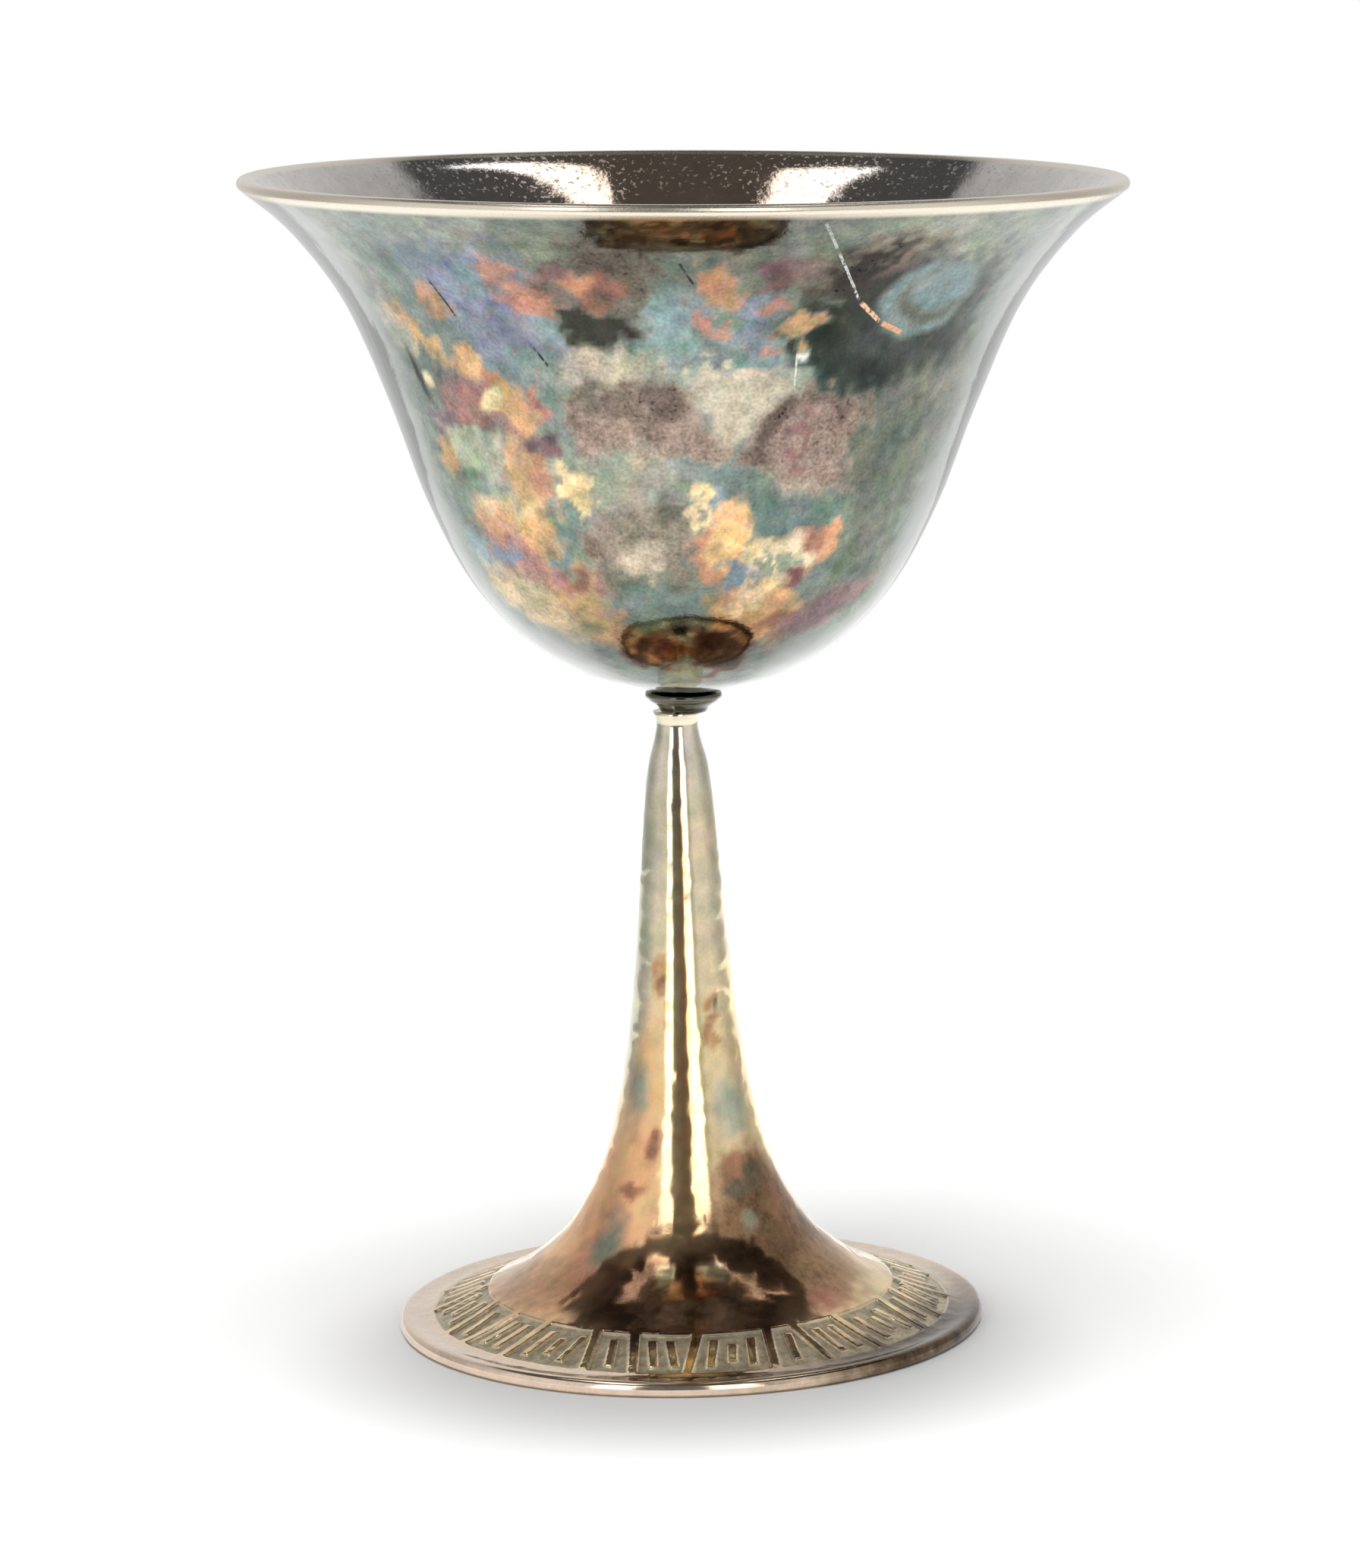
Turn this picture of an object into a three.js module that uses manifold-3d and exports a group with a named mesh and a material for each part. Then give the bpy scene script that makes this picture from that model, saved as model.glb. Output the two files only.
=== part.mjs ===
// A hand-raised silver goblet: a flared bell bowl, a small collar under it, and a trumpet
// stem that opens into a wide round foot with a carved band. Millimetres, +Z up, standing
// on Z = 0. The origin is under the middle of the rim. The front is the -Y side.
import * as THREE from "three";
import { mergeVertices } from "three/addons/utils/BufferGeometryUtils.js";
import Module from "manifold-3d";

const wasm = await Module();
wasm.setup();

// Driving dimensions

const GOBLET_HEIGHT = 165; // ground to the middle of the rim
const RIM_RADIUS = 62.5;
const RIM_THICKNESS = 1.7; // the lip is hammered thicker than the wall
const RIM_SLOPE = THREE.MathUtils.degToRad(42); // the wall's slope where it meets the lip
const BOWL_WALL = 1.0;
const BOWL_FLOOR = 92.2; // underside of the bowl, at its middle
const LIP_REACH = 9; // length of wall over which the lip thickens

const COLLAR_RADIUS = 5.45;
const COLLAR_DISC = 0.8; // thickness of the thin disc that the bowl sits on
const COLLAR_ROOT_RADIUS = 3.45; // where the hollow curve under the disc meets the stem
const COLLAR_HEIGHT = 2.5; // disc and hollow curve together

const FOOT_RADIUS = 42.2;
const FOOT_EDGE = 2.1; // thickness of the foot's edge
const FOOT_REST_WIDTH = 1.5; // flat ring that stands on the ground
const FOOT_WALL = 1.1;
const STEM_TOP_RADIUS = 3.4;
const STEM_BORE_TOP = 83; // the hollow stem closes here

const JOINT_GAP = 0.3; // clearance left between soldered pieces
const BOWL_LEAN = THREE.MathUtils.degToRad(1.3); // the bowl sits a little askew, lower on +X
const BOWL_SHIFT = 1.0; // its axis stands this far to +X of the stem's, at the joint

const BAND_INNER = 29.2; // the carved band on the foot, between these radii
const BAND_OUTER = 37.4;
const BAND_DEPTH = 0.35;
const BAR_COUNT = 24; // bars left standing round the band, with sunk panels between them
const BAR_WIDTH = 1.3;
const BAR_LEAN = 0.8; // how far a bar's ends lean off its middle, along the ring
const LEAN_RHYTHM = [1, 1, -1, -1]; // two bars lean one way, then two the other
const PANEL_RHYTHM = [1.3, 0.75, 0.95]; // a wide panel, a narrow one, a middling one
const PIP_LENGTH = 3.4; // small raised bar in the middle of each wide panel
const PIP_WIDTH = 1.5;

const TURNS = 52; // facets round the axis

// Places worked out from them

const jointZ = BOWL_FLOOR - JOINT_GAP - COLLAR_DISC;
const collarFoot = BOWL_FLOOR - JOINT_GAP - COLLAR_HEIGHT;
const stemTop = collarFoot - JOINT_GAP;
const rimOffset = BOWL_SHIFT + (GOBLET_HEIGHT - jointZ) * Math.sin(BOWL_LEAN);

const bandMiddle = (BAND_INNER + BAND_OUTER) / 2;

const lipRadius = RIM_THICKNESS / 2;
const lipCentre = new THREE.Vector2(RIM_RADIUS - lipRadius, GOBLET_HEIGHT - lipRadius);
const lipUnder = new THREE.Vector2(
  lipCentre.x + lipRadius * Math.sin(RIM_SLOPE),
  lipCentre.y - lipRadius * Math.cos(RIM_SLOPE),
);

// Outer outlines, as radius and height: the bowl from its middle up, the foot from its edge up

const bowlOutline = new THREE.SplineCurve([
  new THREE.Vector2(0, BOWL_FLOOR),
  new THREE.Vector2(5.0, BOWL_FLOOR + 0.05),
  new THREE.Vector2(9.6, 93.4),
  new THREE.Vector2(15.6, 95.6),
  new THREE.Vector2(23.2, 100.5),
  new THREE.Vector2(30.4, 108.5),
  new THREE.Vector2(36.1, 119.5),
  new THREE.Vector2(41.4, 133.5),
  new THREE.Vector2(47.5, 147.5),
  new THREE.Vector2(55.0, 157.5),
  lipUnder,
]);

const footOutline = new THREE.SplineCurve([
  new THREE.Vector2(FOOT_RADIUS, FOOT_EDGE * 0.55),
  new THREE.Vector2(FOOT_RADIUS - 0.8, FOOT_EDGE),
  new THREE.Vector2(37.5, 2.2),
  new THREE.Vector2(28.9, 5.7),
  new THREE.Vector2(23.1, 9.0),
  new THREE.Vector2(16.8, 15),
  new THREE.Vector2(11.8, 25),
  new THREE.Vector2(8.4, 40),
  new THREE.Vector2(6.55, 56),
  new THREE.Vector2(5.45, 70),
  new THREE.Vector2(4.45, 80),
  new THREE.Vector2(3.2, 85.5),
  new THREE.Vector2(2.92, 87.6),
  new THREE.Vector2(STEM_TOP_RADIUS, stemTop),
]);

// A point of an outline, moved square to it by a wall's thickness towards the inside
function inward(outline, t, thickness) {
  const tangent = outline.getTangent(t);
  const normal = new THREE.Vector2(-tangent.y, tangent.x);
  return outline.getPoint(t).addScaledVector(normal, thickness);
}

// The outline's parameter at a radius, by halving
function parameterAtRadius(outline, radius, from, to) {
  let [low, high] = [from, to];
  const growing = outline.getPoint(high).x > outline.getPoint(low).x;
  for (let step = 0; step < 40; step += 1) {
    const middle = (low + high) / 2;
    if (outline.getPoint(middle).x < radius === growing) low = middle;
    else high = middle;
  }
  return (low + high) / 2;
}

// Turns an outline, as radius and height, about the Z axis
function turned(points, turns = TURNS) {
  return new THREE.LatheGeometry(points, turns).rotateX(Math.PI / 2);
}

// Points of an arc, as radius and height, without its first and last
function arc(centre, radius, from, to, steps) {
  const points = [];
  for (let step = 1; step < steps; step += 1) {
    const angle = from + ((to - from) * step) / steps;
    points.push(new THREE.Vector2(
      centre.x + radius * Math.cos(angle),
      centre.y + radius * Math.sin(angle),
    ));
  }
  return points;
}

// The bowl: outside, round lip, then the inside at one wall's thickness

function bowlGeometry() {
  const outside = bowlOutline.getPoints(18);
  outside[0].x = 0;

  const length = bowlOutline.getLength();
  const insideSteps = 11;
  const inside = [];
  for (let step = insideSteps; step >= 1; step -= 1) {
    const t = step / insideSteps;
    const fromLip = (1 - t) * length;
    const swell = 1 - THREE.MathUtils.smoothstep(fromLip, 0, LIP_REACH);
    const thickness = BOWL_WALL + (RIM_THICKNESS - BOWL_WALL) * swell;
    const tangent = bowlOutline.getTangentAt(t);
    const normal = new THREE.Vector2(-tangent.y, tangent.x);
    inside.push(bowlOutline.getPointAt(t).addScaledVector(normal, thickness));
  }
  inside.push(new THREE.Vector2(0, BOWL_FLOOR + BOWL_WALL));

  const lip = arc(lipCentre, lipRadius, RIM_SLOPE - Math.PI / 2, RIM_SLOPE + Math.PI / 2, 5);
  return turned([...outside, ...lip, ...inside]);
}

// The collar: a thin disc with a hollow curve under it that draws in to the stem

function collarGeometry() {
  const top = BOWL_FLOOR - JOINT_GAP;
  const under = top - COLLAR_DISC;
  const cove = new THREE.SplineCurve([
    new THREE.Vector2(COLLAR_ROOT_RADIUS, collarFoot),
    new THREE.Vector2(3.7, collarFoot + 0.4),
    new THREE.Vector2(4.3, collarFoot + 0.85),
    new THREE.Vector2(4.9, collarFoot + 1.3),
    new THREE.Vector2(5.1, under),
  ]);
  return turned([
    new THREE.Vector2(0, collarFoot),
    ...cove.getPoints(5),
    new THREE.Vector2(COLLAR_RADIUS - 0.1, under),
    new THREE.Vector2(COLLAR_RADIUS, under + 0.25),
    new THREE.Vector2(COLLAR_RADIUS, top - 0.2),
    new THREE.Vector2(COLLAR_RADIUS - 0.2, top),
    new THREE.Vector2(0, top),
  ], 28);
}

// The trumpet foot before carving: one raised shell, open underneath

function footBlank() {
  const outside = footOutline.getPoints(20);
  const restOuter = FOOT_RADIUS - 0.4;
  const restInner = restOuter - FOOT_REST_WIDTH;

  // the hollow follows the outline over this stretch of it, from the edge up the stem
  const [hollowFrom, hollowTo] = [0.12, 0.86];
  const steps = 9;
  const inside = [];
  for (let step = 0; step <= steps; step += 1) {
    const t = hollowFrom + ((hollowTo - hollowFrom) * step) / steps;
    inside.push(inward(footOutline, t, FOOT_WALL));
  }

  return turned([
    new THREE.Vector2(0, STEM_BORE_TOP),
    ...inside.reverse(),
    new THREE.Vector2(restInner, 0),
    new THREE.Vector2(restOuter, 0),
    new THREE.Vector2(FOOT_RADIUS, FOOT_EDGE * 0.25),
    ...outside,
    new THREE.Vector2(0, stemTop),
  ]);
}

// A closed solid between rings of points, each ring the same length, capped at both ends
function loft(rings) {
  const size = rings[0].length;
  const positions = rings.flat().flatMap((point) => point.toArray());
  const index = [];
  for (let ring = 0; ring < rings.length - 1; ring += 1) {
    for (let side = 0; side < size; side += 1) {
      const next = (side + 1) % size;
      const [a, b] = [ring * size + side, ring * size + next];
      index.push(a, b, a + size, b, b + size, a + size);
    }
  }
  // a ring is a lower row followed by an upper row, run backwards
  for (let side = 0; side < size / 2 - 1; side += 1) {
    const [a, b, c, d] = [side, side + 1, size - 2 - side, size - 1 - side];
    const last = (rings.length - 1) * size;
    index.push(a, c, b, a, d, c);
    index.push(last + a, last + b, last + c, last + a, last + c, last + d);
  }
  const geometry = new THREE.BufferGeometry();
  geometry.setAttribute("position", new THREE.Float32BufferAttribute(positions, 3));
  geometry.setIndex(index);
  return geometry;
}

function solidOf(geometry) {
  const bare = geometry.clone();
  bare.deleteAttribute("normal");
  bare.deleteAttribute("uv");
  const merged = mergeVertices(bare, 1e-4);
  const triangles = [];
  const corners = merged.index.array;
  for (let at = 0; at < corners.length; at += 3) {
    const [a, b, c] = [corners[at], corners[at + 1], corners[at + 2]];
    if (a !== b && b !== c && c !== a) triangles.push(a, b, c);
  }
  return new wasm.Manifold(new wasm.Mesh({
    numProp: 3,
    vertProperties: new Float32Array(merged.attributes.position.array),
    triVerts: new Uint32Array(triangles),
  }));
}

function geometryOf(solid) {
  const mesh = solid.getMesh();
  const geometry = new THREE.BufferGeometry();
  geometry.setAttribute("position", new THREE.BufferAttribute(mesh.vertProperties, 3));
  geometry.setIndex(new THREE.BufferAttribute(mesh.triVerts, 1));
  return geometry;
}

// A piece of the band between two edges. An edge is an angle at the band's middle and a
// lean along the ring, so the piece's sides slant as the bars beside it do. It reaches
// from a depth under the surface to a clearance over it.
function bandPiece(left, right, innerRadius, outerRadius, depth, clear, steps) {
  const half = (BAND_OUTER - BAND_INNER) / 2;
  const rings = [];
  for (let column = 0; column <= steps; column += 1) {
    const share = column / steps;
    const low = [];
    const high = [];
    for (let row = 0; row <= steps; row += 1) {
      const radius = outerRadius + ((innerRadius - outerRadius) * row) / steps;
      const t = parameterAtRadius(footOutline, radius, 0.08, 0.4);
      const across = (radius - bandMiddle) / half;
      const angle = THREE.MathUtils.lerp(
        left.angle + (left.lean * across) / radius,
        right.angle + (right.lean * across) / radius,
        share,
      );
      const place = (thickness) => {
        const point = inward(footOutline, t, thickness);
        return new THREE.Vector3(
          point.x * Math.cos(angle),
          point.x * Math.sin(angle),
          point.y,
        );
      };
      low.push(place(depth));
      high.push(place(-clear));
    }
    rings.push([...low, ...high.reverse()]);
  }
  return solidOf(loft(rings));
}

// The bars of the band: each one's angle round the foot and its lean
function bandBars() {
  const total = PANEL_RHYTHM.reduce((sum, share) => sum + share, 0);
  const turnPerShare = (2 * Math.PI * PANEL_RHYTHM.length) / (BAR_COUNT * total);
  const bars = [];
  let angle = 0;
  for (let bar = 0; bar <= BAR_COUNT; bar += 1) {
    bars.push({ angle, lean: LEAN_RHYTHM[bar % LEAN_RHYTHM.length] * BAR_LEAN });
    angle += PANEL_RHYTHM[bar % PANEL_RHYTHM.length] * turnPerShare;
  }
  return bars;
}

// The sunk panels between the bars
function bandCutters() {
  const halfBar = BAR_WIDTH / 2 / bandMiddle;
  const halfPip = PIP_WIDTH / 2 / bandMiddle;
  const bars = bandBars();
  const cutters = [];
  for (let bar = 0; bar < BAR_COUNT; bar += 1) {
    const left = { ...bars[bar], angle: bars[bar].angle + halfBar };
    const right = { ...bars[bar + 1], angle: bars[bar + 1].angle - halfBar };
    let cutter = bandPiece(left, right, BAND_INNER, BAND_OUTER, BAND_DEPTH, 0.6, 2);
    if (bar % PANEL_RHYTHM.length === 0) {
      const middle = (left.angle + right.angle) / 2;
      cutter = cutter.subtract(bandPiece(
        { angle: middle - halfPip, lean: left.lean },
        { angle: middle + halfPip, lean: left.lean },
        bandMiddle - PIP_LENGTH / 2,
        bandMiddle + PIP_LENGTH / 2,
        BAND_DEPTH + 0.3,
        1.0,
        1,
      ));
    }
    cutters.push(cutter);
  }
  return cutters;
}

function footGeometry() {
  let foot = solidOf(footBlank());
  for (const cutter of bandCutters()) {
    foot = foot.subtract(cutter);
  }
  return geometryOf(foot);
}

// Silver, brightest inside the bowl and warmer with tarnish down the foot

function silver(colour, roughness) {
  return new THREE.MeshStandardMaterial({ color: colour, roughness, metalness: 1 });
}

function piece(name, geometry, material) {
  const mesh = new THREE.Mesh(geometry, material);
  mesh.name = name;
  return mesh;
}

const goblet = new THREE.Group();

const standing = new THREE.Group();
standing.position.x = -rimOffset;
standing.add(piece("trumpet_foot", footGeometry(), silver(0xb9a98e, 0.28)));
goblet.add(standing);

// The bowl and its collar lean together about the joint
const leaning = new THREE.Group();
leaning.position.set(BOWL_SHIFT, 0, jointZ);
leaning.rotation.y = BOWL_LEAN;
const bowl = piece("bowl", bowlGeometry(), silver(0xb4b2a6, 0.22));
const collar = piece("collar", collarGeometry(), silver(0xa89a80, 0.3));
for (const part of [bowl, collar]) {
  part.position.z = -jointZ;
  leaning.add(part);
}
standing.add(leaning);

export default goblet;
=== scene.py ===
# %% [markdown]
# # A tarnished silver goblet
#
# The goblet is raised from sheet silver with a hammer: a flared bell bowl, a small collar
# under it, and a trumpet stem that opens into a wide round foot with a carved band. Age has
# covered the bright metal with a film of silver sulphide, whose thickness shows as colour.
#
# This lesson turns the three pieces, marks them with the hammer, carves the band and then
# lays the film on them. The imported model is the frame: it gives every size and place.

import math

import bpy
import numpy as np
from mathutils import Matrix, Vector


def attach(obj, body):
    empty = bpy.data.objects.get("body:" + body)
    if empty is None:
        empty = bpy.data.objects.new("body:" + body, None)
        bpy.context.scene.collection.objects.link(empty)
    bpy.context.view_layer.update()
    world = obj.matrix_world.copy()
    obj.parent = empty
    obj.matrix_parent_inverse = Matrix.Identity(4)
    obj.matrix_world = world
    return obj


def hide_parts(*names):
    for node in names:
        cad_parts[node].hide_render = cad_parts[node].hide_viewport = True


MM = 0.001

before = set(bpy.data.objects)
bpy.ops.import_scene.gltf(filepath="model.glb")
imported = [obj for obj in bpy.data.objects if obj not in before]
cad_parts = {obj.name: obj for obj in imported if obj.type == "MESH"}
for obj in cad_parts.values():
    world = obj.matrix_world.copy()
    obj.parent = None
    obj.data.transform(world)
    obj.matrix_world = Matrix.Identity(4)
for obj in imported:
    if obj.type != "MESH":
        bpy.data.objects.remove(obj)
scene = bpy.context.scene
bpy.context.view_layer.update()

# %% [markdown]
# The real goblet's sizes, in millimetres, are the ones that the solids were made from. The
# bowl and its collar lean a little about the joint over the stem, as they do on the real
# one, so each of the two halves has its own axis. The matrices here put a piece that is
# turned about its own axis into its place on the goblet.

# %% Sizes and places
GOBLET_HEIGHT = 165.0
RIM_RADIUS = 62.42
RIM_THICKNESS = 1.7
RIM_SLOPE = math.radians(42)
BOWL_WALL = 1.0
BOWL_FLOOR = 92.2
LIP_REACH = 9.0

COLLAR_RADIUS = 5.45
COLLAR_DISC = 0.8
COLLAR_HEIGHT = 2.5

FOOT_RADIUS = 42.15
FOOT_EDGE = 2.1
FOOT_WALL = 1.1
STEM_TOP_RADIUS = 3.4
STEM_BORE_TOP = 83.0

JOINT_GAP = 0.3
BOWL_LEAN = math.radians(1.3)
BOWL_SHIFT = 1.0

joint_height = BOWL_FLOOR - JOINT_GAP - COLLAR_DISC
collar_foot = BOWL_FLOOR - JOINT_GAP - COLLAR_HEIGHT
stem_top = collar_foot - JOINT_GAP
rim_offset = BOWL_SHIFT + (GOBLET_HEIGHT - joint_height) * math.sin(BOWL_LEAN)

FOOT_PLACE = Matrix.Translation((-rim_offset, 0, 0))
BOWL_PLACE = (
    Matrix.Translation((BOWL_SHIFT - rim_offset, 0, joint_height))
    @ Matrix.Rotation(BOWL_LEAN, 4, "Y")
    @ Matrix.Translation((0, 0, -joint_height))
)
print(f"stem axis at x = {-rim_offset:.2f} mm, bowl axis leans {math.degrees(BOWL_LEAN):.1f} deg")

# %% [markdown]
# The camera stands where the photograph was taken from: about three quarters of a metre in
# front of the goblet, a little above its rim, looking slightly down, with a long lens. It is
# also turned about one degree on its own axis, as one levelled by eye often is.

# %% Camera
camera_data = bpy.data.cameras.new("product_camera")
camera_data.lens = 126.26
camera_data.sensor_width = 36.0
camera = bpy.data.objects.new("product_camera", camera_data)
camera.matrix_world = (
    Matrix.Translation(Vector((-2.47, -773.2, 212.4)) * MM)
    @ Matrix.Rotation(math.radians(90 - 9.827), 4, "X")
    @ Matrix.Rotation(math.radians(-1.367), 4, "Z")
)
scene.collection.objects.link(camera)
scene.camera = camera
scene.view_settings.view_transform = "Standard"
print("camera at", [round(x, 3) for x in camera.matrix_world.translation])

# %% [markdown]
# Materials, the studio's light and the hammer marks are all made of nodes. Two small classes
# keep them readable. `Value` wraps an output socket, so that Python's own operators add Math
# nodes: `1 - mask` makes a Subtract node. `Nodes` wraps a tree, and its one method makes any
# other node from its type, its settings and what goes into its sockets.

# %% Writing nodes as expressions
class Value:
    """One output socket, on which Python's operators add Math nodes."""

    def __init__(self, nodes, socket):
        self.nodes = nodes
        self.socket = socket

    def math(self, operation, first, second=0.0):
        return self.nodes.node("ShaderNodeMath", {"operation": operation}, {0: first, 1: second})

    def __add__(self, other):
        return self.math("ADD", self, other)

    def __radd__(self, other):
        return self.math("ADD", other, self)

    def __sub__(self, other):
        return self.math("SUBTRACT", self, other)

    def __rsub__(self, other):
        return self.math("SUBTRACT", other, self)

    def __mul__(self, other):
        return self.math("MULTIPLY", self, other)

    def __rmul__(self, other):
        return self.math("MULTIPLY", other, self)

    def __truediv__(self, other):
        return self.math("DIVIDE", self, other)

    def __rtruediv__(self, other):
        return self.math("DIVIDE", other, self)

    def __pow__(self, other):
        return self.math("POWER", self, other)

    def __abs__(self):
        return self.math("ABSOLUTE", self)


class Nodes:
    """A node tree, and the one way that this script adds a node to it."""

    def __init__(self, tree):
        self.tree = tree

    def node(self, kind, settings=None, inputs=None, output=0):
        made = self.tree.nodes.new(kind)
        for setting, value in (settings or {}).items():
            if setting == "stops":
                self.fill_ramp(made.color_ramp, value)
            else:
                setattr(made, setting, value)
        for key, value in (inputs or {}).items():
            self.feed(made.inputs[key], value)
        return Value(self, made.outputs[output]) if len(made.outputs) else None

    def split(self, vector):
        """The three numbers of a vector."""
        made = self.tree.nodes.new("ShaderNodeSeparateXYZ")
        self.feed(made.inputs[0], vector)
        return [Value(self, socket) for socket in made.outputs]

    def feed(self, socket, value):
        if isinstance(value, Value):
            self.tree.links.new(value.socket, socket)
        else:
            socket.default_value = value

    @staticmethod
    def fill_ramp(ramp, stops):
        while len(ramp.elements) > 1:
            ramp.elements.remove(ramp.elements[-1])
        ramp.elements[0].position, ramp.elements[0].color = stops[0]
        for position, colour in stops[1:]:
            ramp.elements.new(position).color = colour

    def smooth(self, value, low, high, bottom=0.0, top=1.0):
        """A soft step from bottom, at low, to top, at high."""
        return self.node(
            "ShaderNodeMapRange",
            {"interpolation_type": "SMOOTHSTEP"},
            {"Value": value, "From Min": low, "From Max": high, "To Min": bottom, "To Max": top},
        )

    def between(self, value, low, high, soft):
        """One where the value lies between low and high, with soft edges."""
        rise = self.smooth(value, low - soft, low + soft)
        fall = self.smooth(value, high - soft, high + soft)
        return rise * (1 - fall)

    def blend(self, share, first, second):
        """A number that goes from the first to the second as the share goes from 0 to 1."""
        return self.node("ShaderNodeMix", {"data_type": "FLOAT"}, {0: share, 2: first, 3: second})

    def tint(self, share, first, second, how="MIX"):
        """A colour that goes from the first to the second."""
        settings = {"data_type": "RGBA", "blend_type": how}
        return self.node("ShaderNodeMix", settings, {0: share, 6: first, 7: second}, output=2)

    def noise(self, place, size, detail=3.0, roughness=0.5, output="Fac"):
        """Soft noise whose lumps have about this size, in the units of the place."""
        inputs = {"Vector": place, "Scale": 1 / size, "Detail": detail, "Roughness": roughness}
        return self.node("ShaderNodeTexNoise", {}, inputs, output=output)

    def waver(self, place, size, detail=3.0, roughness=0.5):
        """The same noise as a number that wanders between about -1 and 1."""
        return (self.noise(place, size, detail, roughness) - 0.5) * 4

    def grey(self, value):
        """A colour whose three parts are this number."""
        return self.node("ShaderNodeCombineColor", {}, {0: value, 1: value, 2: value})

    def darken(self, colour, amount):
        """The colour times one less the amount."""
        return self.tint(1.0, colour, self.grey(1 - amount), "MULTIPLY")


# %% [markdown]
# Polished silver has hardly a colour of its own: it shows the room. The room here is a
# plain studio. Two tall soft lights stand left and right of the camera, and two short ones
# hang overhead, a little in front of the goblet. The ceiling and the room behind the camera
# are dark, and the walls at the sides are light grey. The world shader says all this by
# direction, and is plain white where the camera sees it directly.

# %% Studio light
world = bpy.data.worlds.new("studio")
world.use_nodes = True
world.node_tree.nodes.clear()
scene.world = world
room = Nodes(world.node_tree)

right, back, up = room.split(room.node("ShaderNodeTexCoord", output="Generated"))

turn = right.math("ARCTAN2", right, 0 - back) / math.pi  # 0 to the camera, 1 or -1 behind
WALLS = [
    (0.00, 0.15),
    (0.12, 0.15),
    (0.22, 0.78),
    (0.40, 0.80),
    (0.47, 0.70),
    (0.55, 0.56),
    (0.63, 0.48),
    (0.75, 0.56),
    (0.90, 0.76),
]
stops = [(place, (grey, grey, grey, 1)) for place, grey in WALLS]
walls = room.node("ShaderNodeValToRGB", {"stops": stops}, {0: abs(turn)})
CEILING = 0.09
wall_share = 1 - room.smooth(up, 0.71, 0.76)
room_light = room.blend(wall_share, CEILING, walls)

SOFTBOX = 2.3
standing = room.between(turn, -0.215, -0.13, 0.005) + room.between(turn, 0.038, 0.15, 0.005)
standing = standing * room.between(up, -0.07, 0.72, 0.015)
to_right = room.smooth(right, 0.225, 0.245) * room.smooth(right - back * 0.33, 0.37, 0.35)
to_left = room.between(right, -0.385, -0.22, 0.012)
not_behind = room.smooth(back - abs(right) * 1.3, -0.24, -0.27) * room.smooth(back, -0.36, -0.32)
overhead = (to_right + to_left) * not_behind * room.smooth(up, 0.80, 0.84)
# seen by way of two mirrors, as from the foot up into the bowl, the overhead lights are weaker
second_hand = room.smooth(room.node("ShaderNodeLightPath", output="Glossy Depth"), 1.2, 1.8)
radiance = room.blend(standing + overhead * (1 - second_hand * 0.6), room_light, SOFTBOX)

seen = room.node("ShaderNodeLightPath", output="Is Camera Ray")
strength = room.blend(seen, radiance, 1.0)
glow = room.node("ShaderNodeBackground", {}, {"Color": (1, 1, 1, 1), "Strength": strength})
room.node("ShaderNodeOutputWorld", {}, {"Surface": glow})
print("world nodes:", len(world.node_tree.nodes))

# %% [markdown]
# The floor is a plain white disc, lit by one soft light from above. That light is hidden
# from reflections, so it sets how white the floor is without showing in the silver. The
# light is strong enough to wash a wide shadow out, as in the photograph, and the short one
# close round the foot is painted on the floor, for the camera's own rays alone, so that it
# doesn't dim the silver above it.

# %% Floor and key light
FLOOR_RADIUS = 0.45
FLOOR_SIDES = 96
FLOOR_DROP = 0.00005
FLOOR_WHITE = 0.93
SHADOW_FORWARD = 0.018
SHADOW_DEPTH = 0.34
floor_mesh = bpy.data.meshes.new("studio_floor")
floor_turns = np.arange(FLOOR_SIDES) * math.tau / FLOOR_SIDES
rim = [(FLOOR_RADIUS * math.cos(t), FLOOR_RADIUS * math.sin(t), -FLOOR_DROP) for t in floor_turns]
floor_mesh.from_pydata(rim, [], [list(range(FLOOR_SIDES))])
floor = bpy.data.objects.new("studio_floor", floor_mesh)
scene.collection.objects.link(floor)

floor_paint = bpy.data.materials.new("floor_paint")
floor_paint.use_nodes = True
paint = floor_paint.node_tree.nodes["Principled BSDF"]
floor_nodes = Nodes(floor_paint.node_tree)
across, along, _ = floor_nodes.split(floor_nodes.node("ShaderNodeTexCoord", output="Object"))
across = across + rim_offset * MM
along = along + SHADOW_FORWARD
away = (across * across + along * along) ** 0.5
shade = floor_nodes.smooth(away, 0.028, 0.062, 1 - SHADOW_DEPTH, 1.0)
directly = floor_nodes.node("ShaderNodeLightPath", output="Is Camera Ray")
shade = floor_nodes.blend(directly, 1.0, shade) * FLOOR_WHITE
floor_nodes.feed(paint.inputs["Base Color"], floor_nodes.grey(shade))
paint.inputs["Roughness"].default_value = 0.9
paint.inputs["Specular IOR Level"].default_value = 0.0
floor_mesh.materials.append(floor_paint)

key = bpy.data.lights.new("overhead_softbox", "AREA")
key.shape = "DISK"
key.size = 0.9
key.energy = 12.5
key_light = bpy.data.objects.new("overhead_softbox", key)
key_light.location = (0, -0.05, 1.1)
key_light.visible_glossy = False
key_light.visible_camera = False
scene.collection.objects.link(key_light)
print("floor radius, m:", FLOOR_RADIUS)

# %% [markdown]
# Each piece of the goblet is turned, so its shape is one outline, as radius and height. The
# outline's few points are joined by the same soft spline as in the solids, then cut into
# even steps, short enough for the hammer marks to show.

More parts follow.
